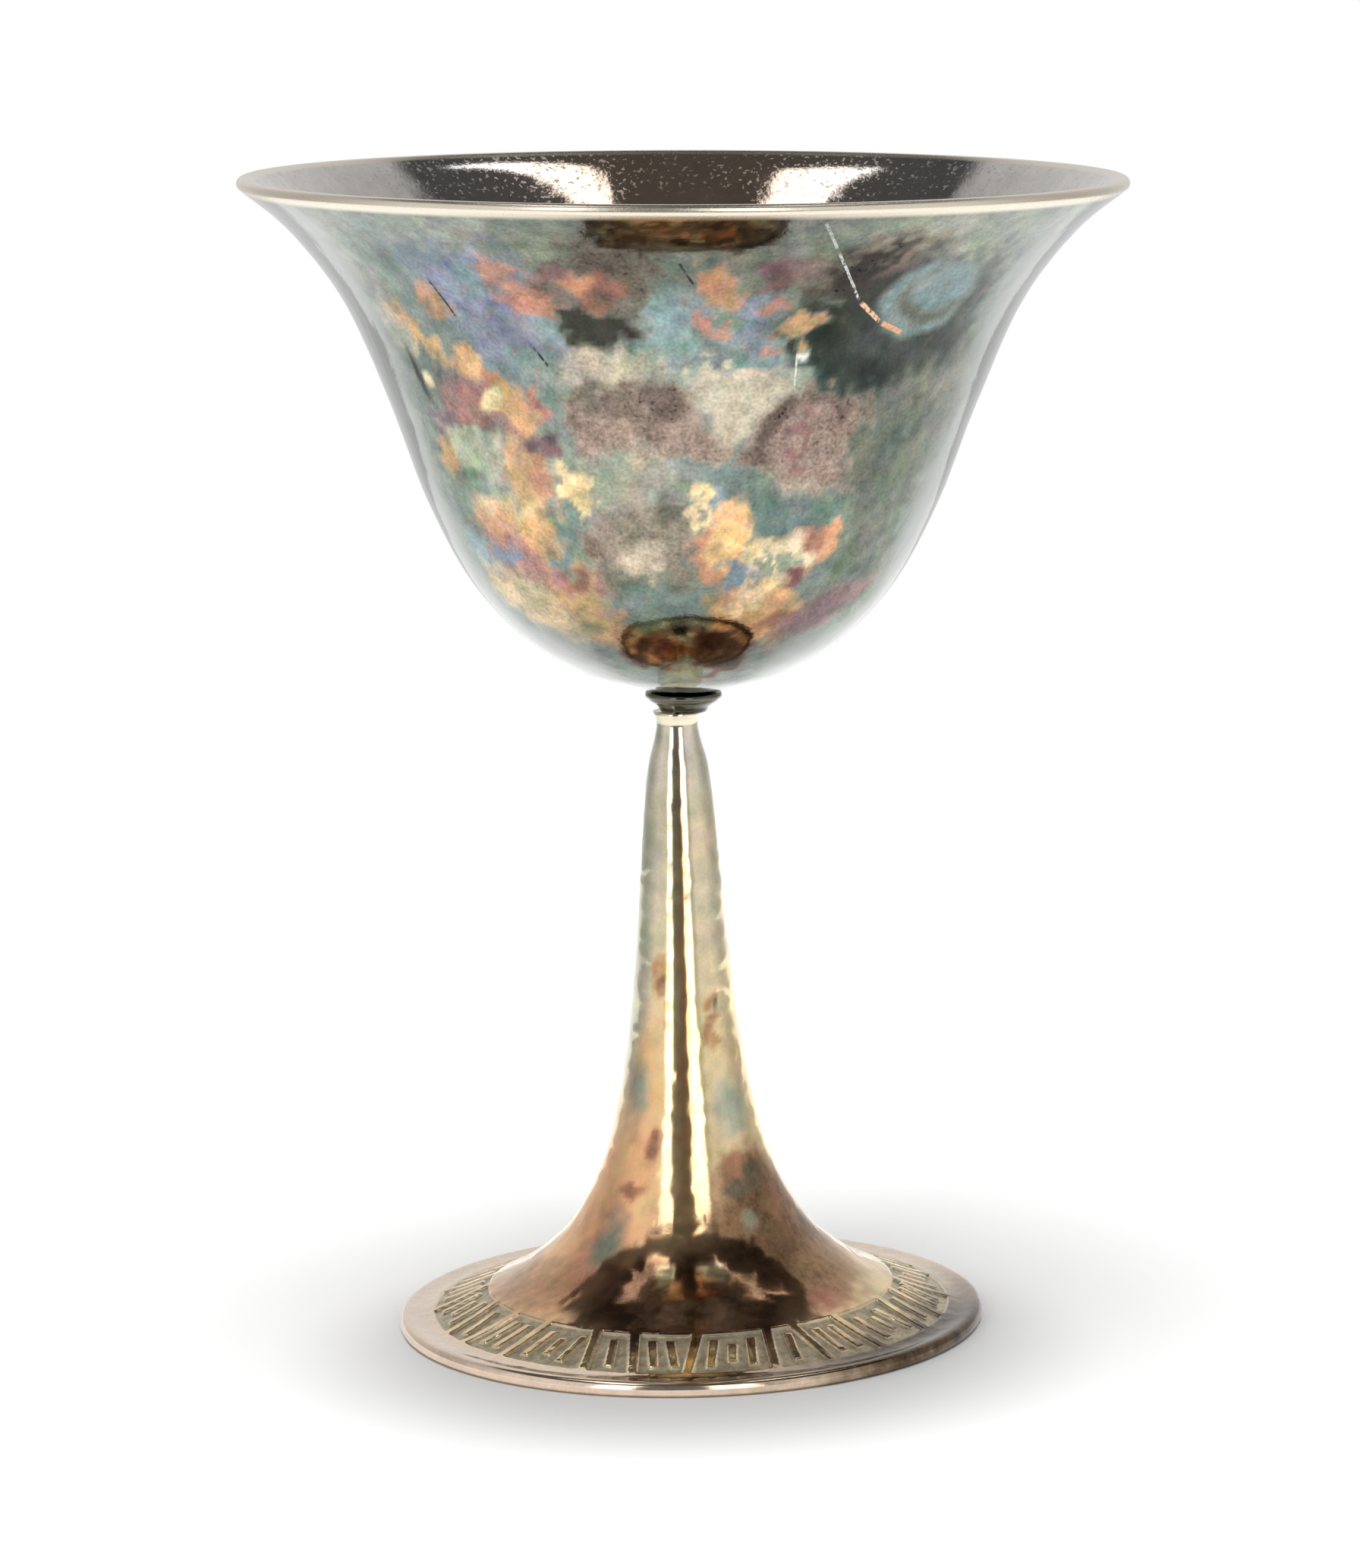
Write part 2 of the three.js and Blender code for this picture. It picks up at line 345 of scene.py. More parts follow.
# %% Outlines
def spline(points, per_step=24):
    """Points of a uniform Catmull-Rom spline through the given ones."""
    given = [np.array(point, float) for point in points]
    made = []
    for at in range(len(given) - 1):
        before = given[max(at - 1, 0)]
        here, there = given[at], given[at + 1]
        after = given[min(at + 2, len(given) - 1)]
        leave, arrive = (there - before) / 2, (after - here) / 2
        for step in range(per_step):
            t = step / per_step
            cubic = (2 * here - 2 * there + leave + arrive) * t**3
            square = (3 * there - 3 * here - 2 * leave - arrive) * t**2
            made.append(cubic + square + leave * t + here)
    made.append(given[-1])
    return np.array(made)


def lengths(points):
    """How far along the outline each of its points lies."""
    steps = np.linalg.norm(np.diff(points, axis=0), axis=1)
    return np.concatenate([[0], np.cumsum(steps)])


def even(points, spacing):
    """The outline cut into even steps of about this length."""
    along = lengths(points)
    count = max(2, math.ceil(along[-1] / spacing))
    places = np.linspace(0, along[-1], count + 1)
    return np.stack([np.interp(places, along, points[:, side]) for side in (0, 1)], axis=1)


def inward(points, thickness):
    """The outline moved square to itself, to its left, by a wall's thickness."""
    tangent = np.gradient(points, axis=0)
    tangent /= np.linalg.norm(tangent, axis=1)[:, None]
    normal = np.stack([-tangent[:, 1], tangent[:, 0]], axis=1)
    return points + normal * np.reshape(thickness, (-1, 1))


def smoothstep(value, low, high):
    share = np.clip((value - low) / (high - low), 0, 1)
    return share * share * (3 - 2 * share)


# %% [markdown]
# The bowl's wall is 1 mm of sheet, hammered thicker towards the lip, which is a round bead
# 1.7 mm across. The outline runs from the middle of the underside up to the lip, over it
# and down the inside.

# %% The bowl's outline
lip_radius = RIM_THICKNESS / 2
lip_centre = np.array([RIM_RADIUS - lip_radius, GOBLET_HEIGHT - lip_radius - 0.01])
lip_under = lip_centre + lip_radius * np.array([math.sin(RIM_SLOPE), -math.cos(RIM_SLOPE)])

BOWL_POINTS = [
    (0, BOWL_FLOOR),
    (5.0, BOWL_FLOOR + 0.05),
    (9.6, 93.4),
    (15.6, 95.6),
    (23.2, 100.5),
    (30.4, 108.5),
    (36.1, 119.5),
    (41.4, 133.5),
    (47.5, 147.5),
    (55.0, 157.5),
    tuple(lip_under),
]
outside = even(spline(BOWL_POINTS), 0.66)
from_lip = lengths(outside)[-1] - lengths(outside)
swell = 1 - smoothstep(from_lip, 0, LIP_REACH)
wall = BOWL_WALL + (RIM_THICKNESS - BOWL_WALL) * swell
inside = inward(outside, wall)[::-1]
inside = inside[inside[:, 0] > 0.6]
seen_inside = even(inside[inside[:, 1] > 136], 0.8)
deep_inside = even(inside[inside[:, 1] <= 136], 1.6)
inside = np.concatenate([seen_inside, deep_inside])

lip_turns = np.linspace(RIM_SLOPE - math.pi / 2, RIM_SLOPE + math.pi / 2, 13)[1:-1]
lip = lip_centre + lip_radius * np.stack([np.cos(lip_turns), np.sin(lip_turns)], axis=1)
bowl_outline = np.concatenate([outside, lip, inside, [[0, BOWL_FLOOR + BOWL_WALL]]])
bowl_outline[0, 0] = 0
bowl_inner_from = len(outside) + len(lip) // 2
print("bowl rings:", len(bowl_outline), "wall at the lip, mm:", round(float(wall[-1]), 2))

# %% [markdown]
# The stem and the foot are one raised shell, hollow from below, that stands on a narrow
# ring at its edge. The collar is a thin disc with a hollow curve under it that draws in to
# the stem. Both are drawn from inside to outside, as the bowl is.

# %% The foot's and the collar's outlines
FOOT_POINTS = [
    (FOOT_RADIUS, FOOT_EDGE * 0.55),
    (FOOT_RADIUS - 0.8, FOOT_EDGE),
    (37.5, 2.2),
    (28.9, 5.7),
    (23.1, 9.0),
    (16.8, 15),
    (11.8, 25),
    (8.4, 40),
    (6.55, 56),
    (5.45, 70),
    (4.45, 80),
    (3.2, 85.5),
    (2.92, 87.6),
    (STEM_TOP_RADIUS, stem_top),
]
BAND_INNER = 29.2
BAND_OUTER = 37.4

foot_spline = spline(FOOT_POINTS)
foot_along = lengths(foot_spline)
band_from, band_to = [
    float(np.interp(-radius, -foot_spline[:, 0], foot_along))
    for radius in (BAND_OUTER + 0.3, BAND_INNER - 0.3)
]
edge_part = even(foot_spline[foot_along <= band_from], 0.4)
band_part = even(foot_spline[(foot_along > band_from) & (foot_along < band_to)], 0.24)
stem_part = even(foot_spline[foot_along >= band_to], 0.6)
foot_outside = np.concatenate([edge_part, band_part, stem_part])

hollow = inward(foot_spline, FOOT_WALL)
hollow = hollow[(foot_along > 4.0) & (hollow[:, 1] < STEM_BORE_TOP - 1) & (hollow[:, 0] > 1.0)]
hollow = even(hollow, 1.4)[::-1]
rest_outer = FOOT_RADIUS - 0.4
foot_outline = np.concatenate([
    [[0, STEM_BORE_TOP]],
    hollow,
    [[rest_outer - 1.5, 0], [rest_outer, 0], [FOOT_RADIUS, FOOT_EDGE * 0.25]],
    foot_outside,
    [[0, stem_top]],
])
foot_outer_from = 1 + len(hollow) + 2

under = joint_height
collar_cove = spline([
    (3.45, collar_foot),
    (3.7, collar_foot + 0.4),
    (4.3, collar_foot + 0.85),
    (4.9, collar_foot + 1.3),
    (5.1, under),
], 5)
collar_outline = np.concatenate([
    [[0, stem_top], [3.3, stem_top]],
    collar_cove,
    [[COLLAR_RADIUS - 0.1, under], [COLLAR_RADIUS, under + 0.12], [COLLAR_RADIUS, under + 0.5]],
    [[COLLAR_RADIUS - 0.06, under + 0.68], [COLLAR_RADIUS - 0.25, under + 0.8]],
    [[4.6, BOWL_FLOOR - 0.25], [4.3, BOWL_FLOOR], [0, BOWL_FLOOR]],
])
print("foot rings:", len(foot_outline), "collar rings:", len(collar_outline))

# %% [markdown]
# Winding an outline about the axis gives the shell. Each ring has as many columns as keep
# them narrow, and the number doubles or halves from ring to ring as the radius changes, so
# the faces stay about as wide as they are high from the axis out to the rim. Both ends of
# an outline lie on the axis, so the shell is closed.

# %% Winding a shell
def ring_columns(radius, widest):
    """Columns round a ring: doubled until none is wider than this."""
    count = 30
    while 2 * math.pi * radius / count > widest:
        count *= 2
    return count


def stitch(lower, upper):
    """Faces between two rings of vertex numbers, one of which may have twice the columns."""
    faces = []
    fewer = min(len(lower), len(upper))
    for column in range(fewer):
        after = (column + 1) % fewer
        if len(lower) == len(upper):
            faces.append((lower[column], lower[after], upper[after], upper[column]))
            continue
        middle, low, high = column * 2 + 1, column, column * 2
        if len(upper) > len(lower):
            end = upper[(high + 2) % len(upper)]
            faces.append((lower[low], upper[middle], upper[high]))
            faces.append((lower[low], lower[after], upper[middle]))
            faces.append((lower[after], end, upper[middle]))
        else:
            end = lower[(high + 2) % len(lower)]
            faces.append((lower[high], lower[middle], upper[low]))
            faces.append((lower[middle], upper[after], upper[low]))
            faces.append((lower[middle], end, upper[after]))
    return faces


def wind(outline, widths):
    """Vertices, each one's ring, and faces of the shell. Turns run from the front to +X."""
    counts = [ring_columns(radius, width) for (radius, _), width in zip(outline, widths)]
    for at in range(2, len(counts) - 1):
        counts[at] = min(counts[at], counts[at - 1] * 2)
    for at in range(len(counts) - 3, 0, -1):
        counts[at] = min(counts[at], counts[at + 1] * 2)
    counts[0] = counts[-1] = 1
    points, rings, numbers = [], [], []
    for ring, ((radius, height), count) in enumerate(zip(outline, counts)):
        numbers.append(list(range(len(points), len(points) + count)))
        for column in range(count):
            angle = math.tau * column / count
            points.append((radius * math.sin(angle), -radius * math.cos(angle), height))
            rings.append(ring)
    faces = []
    for lower, upper in zip(numbers[1:-2], numbers[2:-1]):
        faces += stitch(lower, upper)
    first, last = numbers[1], numbers[-2]
    faces += [(numbers[0][0], first[at - 1], first[at])[::-1] for at in range(len(first))]
    faces += [(numbers[-1][0], last[at], last[at - 1])[::-1] for at in range(len(last))]
    return np.array(points), np.array(rings), faces


def volume(points, faces):
    """The signed volume that the faces enclose: above nothing when they point outwards."""
    total = 0.0
    for face in faces:
        for at in range(1, len(face) - 1):
            a, b, c = points[face[0]], points[face[at]], points[face[at + 1]]
            total += float(np.dot(a, np.cross(b, c))) / 6
    return total


bowl_widths = [0.82] * (len(bowl_outline) - len(deep_inside)) + [1.7] * len(deep_inside)
bowl_points, bowl_rings, bowl_faces = wind(bowl_outline, bowl_widths)
collar_points, _, collar_faces = wind(collar_outline, [0.5] * len(collar_outline))
band_radii = (foot_outline[:, 0] > BAND_INNER - 0.6) & (foot_outline[:, 0] < BAND_OUTER + 0.6)
outer = np.arange(len(foot_outline)) >= foot_outer_from
foot_widths = np.where(band_radii & outer, 0.26, np.where(outer, 0.75, 1.2))
foot_points, foot_rings, foot_faces = wind(foot_outline, foot_widths)
for name, points, faces in [
    ("bowl", bowl_points, bowl_faces),
    ("collar", collar_points, collar_faces),
    ("foot", foot_points, foot_faces),
]:
    print(f"{name}: {len(faces)} faces, {volume(points, faces) / 1000:.2f} cubic cm")

# %% [markdown]
# The band on the foot is carved: its ground is cut 0.35 mm deep and matted, and bars and
# short strokes are left standing in it, leaning now one way and now the other. `sunk` is
# one in the ground and nothing on a bar, with a narrow slope between them.

# %% The carved band
BAND_DEPTH = 0.35
BAR_COUNT = 24
BAR_WIDTH = 1.3
BAR_LEAN = 0.8
LEAN_RHYTHM = [1, 1, -1, -1]
PANEL_RHYTHM = [1.3, 0.75, 0.95]
STROKES_IN_PANEL = [3, 1, 2]
STROKE_WIDTH = 1.15
SLOPE_WIDTH = 0.3
band_middle = (BAND_INNER + BAND_OUTER) / 2
band_half = (BAND_OUTER - BAND_INNER) / 2


def band_marks():
    """Bars and strokes: angle at the band's middle, lean, width, and half length."""
    per_share = math.tau * len(PANEL_RHYTHM) / (BAR_COUNT * sum(PANEL_RHYTHM))
    angle = 0.0
    marks = []
    for bar in range(BAR_COUNT):
        lean = LEAN_RHYTHM[bar % 4] * BAR_LEAN
        share = PANEL_RHYTHM[bar % 3] * per_share
        marks.append((angle, lean, BAR_WIDTH, band_half + 1))
        strokes = STROKES_IN_PANEL[bar % 3]
        for stroke in range(strokes):
            place = angle + share * (stroke + 1) / (strokes + 1)
            length = 1.7 if strokes == 3 and stroke == 1 else 2.7
            marks.append((place, lean, STROKE_WIDTH, length))
        angle += share
    return marks


def sunk_share(points):
    """How far down into the ground each point of the foot lies, from 0 to 1."""
    radius = np.hypot(points[:, 0], points[:, 1])
    angle = np.arctan2(points[:, 1], points[:, 0])
    across = (radius - band_middle) / band_half
    clear = np.minimum(radius - BAND_INNER, BAND_OUTER - radius)
    for place, lean, width, half_length in band_marks():
        turn = angle - place - lean * across / np.maximum(radius, 1)
        turn = (turn + math.pi) % math.tau - math.pi
        beside = np.abs(turn) * radius - width / 2
        beyond = np.abs(radius - band_middle) - half_length
        outside_mark = np.hypot(np.maximum(beside, 0), np.maximum(beyond, 0))
        within_mark = np.minimum(np.maximum(beside, beyond), 0)
        clear = np.minimum(clear, outside_mark + within_mark)
    return smoothstep(clear, 0, SLOPE_WIDTH)


foot_is_outer = foot_rings >= foot_outer_from
foot_sunk = sunk_share(foot_points) * foot_is_outer
print("marks in the band:", len(band_marks()), "vertices in its ground:", int((foot_sunk > 0.5).sum()))

# %% [markdown]
# A hammer's face leaves a shallow dish at each blow, set closely but not evenly, and the
# wall swells a little over longer stretches. Geometry Nodes do this by rule: a Voronoi
# pattern gives the blows, each with its own slight tilt, and noise gives the swell. The
# tree also cuts the band's ground. Its sizes are inputs, so the bowl and the stem can take
# marks of their own.

# %% The hammer's tree
def hammer_tree():
    tree = bpy.data.node_groups.new("hammer_and_chisel", "GeometryNodeTree")
    inputs = [
        ("Geometry", "NodeSocketGeometry"),
        ("Mark Size", "NodeSocketFloat"),
        ("Mark Depth", "NodeSocketFloat"),
        ("Mark Tilt", "NodeSocketFloat"),
        ("Swell", "NodeSocketFloat"),
        ("Cut Depth", "NodeSocketFloat"),
        ("Seed", "NodeSocketFloat"),
        ("Silver", "NodeSocketMaterial"),
    ]
    for name, kind in inputs:
        tree.interface.new_socket(name, in_out="INPUT", socket_type=kind)
    tree.interface.new_socket("Geometry", in_out="OUTPUT", socket_type="NodeSocketGeometry")

    nodes = Nodes(tree)
    given = tree.nodes.new("NodeGroupInput")
    value = {name: Value(nodes, given.outputs[name]) for name, _ in inputs}

    def named(attribute):
        kind = {"data_type": "FLOAT"}
        return nodes.node("GeometryNodeInputNamedAttribute", kind, {"Name": attribute})

    def vector(operation, first, second, output=0):
        inputs = {0: first, 1: second}
        return nodes.node("ShaderNodeVectorMath", {"operation": operation}, inputs, output=output)

    place = nodes.node("GeometryNodeInputPosition")
    seed = value["Seed"]
    shift = nodes.node("ShaderNodeCombineXYZ", {}, {0: seed, 1: seed, 2: seed})
    place = vector("ADD", place, shift)
    voronoi = tree.nodes.new("ShaderNodeTexVoronoi")
    nodes.feed(voronoi.inputs["Vector"], place)
    nodes.feed(voronoi.inputs["Scale"], 1 / value["Mark Size"])
    away = Value(nodes, voronoi.outputs["Distance"])
    own = vector("SUBTRACT", Value(nodes, voronoi.outputs["Color"]), (0.5, 0.5, 0.5))
    arm = vector("SUBTRACT", place, Value(nodes, voronoi.outputs["Position"]))
    tilt = vector("DOT_PRODUCT", own, arm, output="Value") * value["Mark Tilt"]
    swell = nodes.noise(place, 22 * MM, detail=1.0) - 0.5
    marks = (away * away - 0.3) * value["Mark Depth"] + tilt + swell * value["Swell"]
    height = marks * named("hammered") - named("sunk") * value["Cut Depth"]

    normal = nodes.node("GeometryNodeInputNormal")
    move = nodes.node("ShaderNodeVectorMath", {"operation": "SCALE"}, {0: normal, "Scale": height})
    moved = nodes.node("GeometryNodeSetPosition", {}, {"Geometry": value["Geometry"], "Offset": move})
    smooth = nodes.node("GeometryNodeSetShadeSmooth", {}, {"Geometry": moved})
    real = nodes.node("GeometryNodeRealizeInstances", {}, {"Geometry": smooth})
    silvered = nodes.node(
        "GeometryNodeSetMaterial", {}, {"Geometry": real, "Material": value["Silver"]}
    )
    result = tree.nodes.new("NodeGroupOutput")
    nodes.feed(result.inputs[0], silvered)
    return tree


HAMMER = hammer_tree()


def finished_piece(name, points, faces, place, tarnish, attributes, settings):
    """Puts a turned shell through the hammer's tree and leaves a plain mesh in its place."""
    mesh = bpy.data.meshes.new(name)
    mesh.from_pydata(points, [], faces)
    mesh.transform(place)
    mesh.transform(Matrix.Scale(MM, 4))
    film = mesh.attributes.new("film", "FLOAT_COLOR", "POINT")
    film.data.foreach_set("color", np.column_stack([tarnish[:, :3], np.ones(len(points))]).ravel())
    for attribute, values in {"crust": tarnish[:, 3], "dark": tarnish[:, 4], **attributes}.items():
        layer = mesh.attributes.new(attribute, "FLOAT", "POINT")
        layer.data.foreach_set("value", np.asarray(values, np.float32))
    piece = bpy.data.objects.new(name, mesh)
    scene.collection.objects.link(piece)
    modifier = piece.modifiers.new("hammer", "NODES")
    modifier.node_group = HAMMER
    for item in HAMMER.interface.items_tree:
        if item.name in settings:
            modifier[item.identifier] = settings[item.name]
    bpy.context.view_layer.update()
    depsgraph = bpy.context.evaluated_depsgraph_get()
    plain = bpy.data.meshes.new_from_object(piece.evaluated_get(depsgraph), depsgraph=depsgraph)
    piece.modifiers.remove(modifier)
    piece.data = plain
    bpy.data.meshes.remove(mesh)
    plain.name = name
    print(f"{name}: {sum(len(face.vertices) - 2 for face in plain.polygons)} triangles")
    return piece


# %% [markdown]
# A film of silver sulphide thickens from nothing to about a tenth of a micron, and its
# colours come in a fixed order: straw, gold, copper, rose, violet, blue, sea green, green,
# cream. So one number, the film's thickness, names the colour of a place, and a number
# between two names gives the colour between them.

# %% The film's colours
def paint_colour(red, green, blue):
    """A shader colour from the numbers that a screen shows, 0 to 255."""
    return (*[((part / 255 + 0.055) / 1.055) ** 2.4 for part in (red, green, blue)], 1)


SILVER, STRAW, GOLD, COPPER, ROSE = 0.0, 0.11, 0.22, 0.33, 0.43
VIOLET, LILAC, BLUE, SEA, GREEN, CREAM = 0.52, 0.60, 0.68, 0.78, 0.89, 1.0
FILM_COLOURS = [
    (SILVER, paint_colour(204, 203, 194)),
    (STRAW, paint_colour(226, 206, 162)),
    (GOLD, paint_colour(218, 174, 124)),
    (COPPER, paint_colour(202, 144, 116)),
    (ROSE, paint_colour(170, 122, 118)),
    (VIOLET, paint_colour(138, 118, 128)),
    (LILAC, paint_colour(134, 144, 162)),
    (BLUE, paint_colour(136, 158, 164)),
    (SEA, paint_colour(120, 140, 134)),
    (GREEN, paint_colour(154, 164, 144)),
    (CREAM, paint_colour(204, 196, 172)),
]


def film_colour(film):
    """Red, green and blue of the film at each of the given thicknesses."""
    steps = [step for step, _ in FILM_COLOURS]
    channels = np.array([colour[:3] for _, colour in FILM_COLOURS]).T
    return np.stack([np.interp(film, steps, channel) for channel in channels], axis=-1)


def new_silver(name):
    """A material with a Principled shader, and the nodes wrapper that feeds it."""
    material = bpy.data.materials.new(name)
    material.use_nodes = True
    shader = material.node_tree.nodes["Principled BSDF"]
    shader.inputs["Metallic"].default_value = 1.0
    shader.inputs["Coat Weight"].default_value = 0.2
    shader.inputs["Coat IOR"].default_value = 1.5
    shader.inputs["Coat Roughness"].default_value = 0.08
    return material, shader, Nodes(material.node_tree)


# %% [markdown]
# Over the film lie two more things: a brown crust, where the tarnish has grown thick, and
# plain darkness, from dirt and, in a few places, painted reflection of the goblet's own foot
# and bowl. The film's colour, the crust and the darkness are kept at each
# vertex, as the piece's own attributes, and patches of them are laid on a map of the piece,
# rolled out flat: degrees round from the front, and millimetres along. The map is pushed
# about by noise first, so a plain ellipse on it comes out with a torn edge on the metal. At
# the end the colour is made to wander a little, because no patch is even.

# %% The rolled-out map and the patches on it
DEGREE = 0.785  # width on the map, in millimetres, of one degree round a 45 mm wall
# the noise that tears the edges: size of its lumps and how far it pushes, in mm, and its seed
TEARS = [(8.0, 1.2, 1), (3.2, 1.3, 2), (1.4, 1.7, 3)]
FINE_TEARS = [(3.0, 0.4, 4), (1.3, 0.35, 5)]


def wander(points, size, seed):
    """Three soft random numbers at each point, from -1 to 1, in lumps of this size."""
    lattice = np.random.default_rng(seed).uniform(-1, 1, (32, 32, 32, 3))
    cell = np.floor(points / size).astype(int)
    share = points / size - cell
    share = share * share * (3 - 2 * share)
    total = np.zeros(points.shape)
    for corner in np.ndindex(2, 2, 2):
        weight = np.where(corner, share, 1 - share).prod(axis=1)
        column, row, layer = ((cell + corner) % 32).T
        total += lattice[column, row, layer] * weight[:, None]
    return total


def lay(points, along, ground, patches, tears=TEARS):
    """Film colour, crust and darkness at each point: the ground with patches laid over it."""
    degrees = np.degrees(np.arctan2(points[:, 0], -points[:, 1]))
    torn = sum(wander(points, size, seed) * push for size, push, seed in tears)
    tarnish = np.array(ground, float)
    for middle, height, half_width, half_height, turn, film, crust, dark, edge in patches:
        beside = ((degrees - middle + 180) % 360 - 180) * DEGREE + torn[:, 0]
        above = along - height + torn[:, 1]
        angle = math.radians(turn)
        across = (beside * math.cos(angle) + above * math.sin(angle)) / (half_width * DEGREE)
        upward = (above * math.cos(angle) - beside * math.sin(angle)) / half_height
        mask = smoothstep(-np.hypot(across, upward), -1 - edge / 2, -1 + edge / 2)
        tarnish += ([*film_colour(film), crust, dark] - tarnish) * mask[:, None]
    return tarnish


def mottled(points, tarnish, strength=1.0):
    """The same tarnish with the film's colour wandering a little inside each patch."""
    broad, fine = wander(points, 3.6, 7), wander(points, 1.5, 8)
    hue = 0.09 * broad + 0.10 * fine
    lightness = 0.22 * broad[:, :1] + 0.26 * fine[:, :1]
    tarnish[:, :3] *= 1 + (hue + lightness) * strength
    return tarnish


class Chart:
    """Where a point of a piece lies, read by its material from the Object coordinates."""

    def __init__(self, nodes, place):
        lifted = place.inverted()
        coordinates = nodes.node("ShaderNodeTexCoord", output="Object")
        scaled = nodes.node(
            "ShaderNodeVectorMath", {"operation": "SCALE"}, {0: coordinates, "Scale": 1 / MM}
        )
        self.place = nodes.node(
            "ShaderNodeMapping",
            {"vector_type": "POINT"},
            {"Vector": scaled, "Location": lifted.translation, "Rotation": lifted.to_euler()},
        )
        x, y, z = nodes.split(self.place)
        self.degrees = x.math("ARCTAN2", x, 0 - y) * math.degrees(1)
        self.aside = abs(self.degrees)
        self.radius = (x * x + y * y) ** 0.5
        self.height = z
        self.broad = nodes.waver(self.place, 14)
        self.middling = nodes.waver(self.place, 4.0)
        self.fine = nodes.waver(self.place, 1.4, detail=4.0, roughness=0.65)
        self.tiny = nodes.waver(self.place, 0.5, detail=2.0)
        flecks = nodes.noise(self.place, 2.2, detail=4.0, roughness=0.65, output="Color")
        self.flecks = [(part - 0.5) * 4 for part in nodes.split(flecks)]


def line(nodes, chart, start, end, width):
    """One on a thin line between two places, each given as degrees round and height."""
    beside = (end[0] - start[0]) * DEGREE
    above = end[1] - start[1]
    right = (chart.degrees - start[0]) * DEGREE
    up = chart.height - start[1]
    reach = nodes.smooth((right * beside + up * above) / (beside**2 + above**2), -0.02, 1.02)
    offset = (right * above - up * beside) / math.hypot(beside, above)
    offset = abs(offset + chart.fine * 0.06)
    ends = nodes.smooth(reach, 0.0, 0.05) * nodes.smooth(reach, 1.0, 0.95)
    broken = nodes.smooth(chart.tiny + chart.fine, -1.1, 0.3)
    return nodes.smooth(offset, width * 0.6, width * 0.4) * ends * broken


def own(nodes, attribute, output="Fac"):
    """A number or a colour that the piece keeps at each vertex."""
    return nodes.node("ShaderNodeAttribute", {"attribute_name": attribute}, output=output)


# %% [markdown]
# The bowl's outside is the most colourful surface: lilac and blue under the lip beside dark
# olive, brown lobes either side of a cream shield, copper and gold down the left, and a gold
# splash low on the right. Each line lays one patch, over the ones before it: degrees round,
# height, half width in degrees, half height, turn, then film, crust, darkness and the
# softness of its edge. Darkness below nothing is a brighter place. The part under the lip
# comes first.

# %% Tarnish under the bowl's lip
BOWL_PATCHES = [
    # grey green under the lip, darker towards the left and right
    (-43, 154.5, 12, 6.5, 0, SEA - 0.02, 0.1, 0.2, 1.2),
    (39, 156, 14, 6, 0, GREEN, 0.15, 0.12, 1.2),
    (3, 157.5, 15, 1.8, 0, GREEN, 0.2, 0.34, 1),
    (50, 131, 13, 13, 0, GREEN - 0.02, 0.15, 0.42, 1.2),
    # lilac and blue at the upper left, with a rose edge on top
    (-30, 150.5, 14, 8, -25, LILAC, 0, 0.03, 0.6),
    (-32, 154.5, 5, 3.5, 0, BLUE - 0.01, 0, 0.05, 1),
    (-30, 147, 7, 3.5, -20, LILAC - 0.02, 0, 0.16, 1),
    (-22, 147.5, 3, 3, 0, BLUE + 0.04, 0, 0, 0.8),
    (-28, 143, 3.5, 2.5, -20, SEA - 0.03, 0, 0.1, 0.6),
    (-28, 156, 2.5, 1.3, -15, COPPER - 0.02, 0.2, 0, 1),
    (-23, 152.5, 6, 2.5, -25, COPPER + 0.02, 0.1, 0.02, 0.9),
    (-21, 154.5, 2, 1.6, 0, ROSE + 0.02, 0, 0.12, 0.9),
    # dark brown with brick red on it, and the olive block below
    (-11, 155, 8, 4.5, 0, GREEN, 0.7, 0.62, 1),
    (-15, 148, 6, 3.5, 0, GREEN + 0.04, 0.1, 0.90, 0.4),
    (-13, 153.5, 3, 2, 0, COPPER + 0.04, 0.1, 0.42, 0.9),
    (-16, 155, 2, 1.6, 0, COPPER - 0.02, 0, 0.15, 0.9),
    (-19, 156.5, 1.4, 1.4, 0, ROSE + 0.02, 0, 0.3, 0.9),
    # teal grey, then sky blue
    (-1, 155, 4.5, 3.5, 0, SEA + 0.02, 0.1, 0.18, 1),
    (-3, 147, 5, 5, 0, BLUE + 0.02, 0, -0.05, 0.8),
    # a lilac ring with copper spots on it round a green middle
    (9, 149, 6, 4, 0, LILAC + 0.02, 0.15, -0.05, 0.8),
    (8, 149, 2.5, 1.7, 0, GREEN - 0.03, 0, 0.08, 0.9),
    (5, 153.5, 3, 2.8, 20, COPPER - 0.03, 0, -0.05, 0.7),
    (14, 155, 5, 1.8, 8, ROSE + 0.03, 0, 0.32, 0.9),
    (15, 150.5, 2.5, 1.3, 0, COPPER + 0.03, 0, 0.02, 0.9),
    (5, 146.5, 3, 1.7, -20, COPPER + 0.03, 0, 0.05, 0.8),
    (15, 145.5, 1.7, 0.9, 0, COPPER + 0.03, 0, 0, 0.8),
    # dark green on the right
    (32, 145.5, 15, 8, -8, SEA + 0.04, 0, 0.90, 0.7),
    (28, 149.5, 7, 4.5, 0, GREEN - 0.02, 0.1, 0.92, 0.9),
    (24, 151, 1.5, 1.5, 0, GREEN - 0.02, 0, 0.5, 1),
    (28, 155.5, 9, 4, 10, CREAM, 0.5, 0.94, 0.9),
    (54, 139, 11, 7, 0, GREEN, 0.2, 0.35, 1.2),
    (32, 156, 3, 1.5, 30, ROSE, 0.1, 0.3, 0.9),
    (20, 147, 3, 1.8, 0, GOLD + 0.05, 0, 0, 0.6),
    # dark round the dent
    (40, 150.5, 13, 6.5, 0, SEA + 0.04, 0.1, 0.84, 0.9),
    (44, 145.5, 13, 4.5, -6, SEA + 0.04, 0.1, 0.78, 1.1),
]
print("patches under the lip:", len(BOWL_PATCHES))

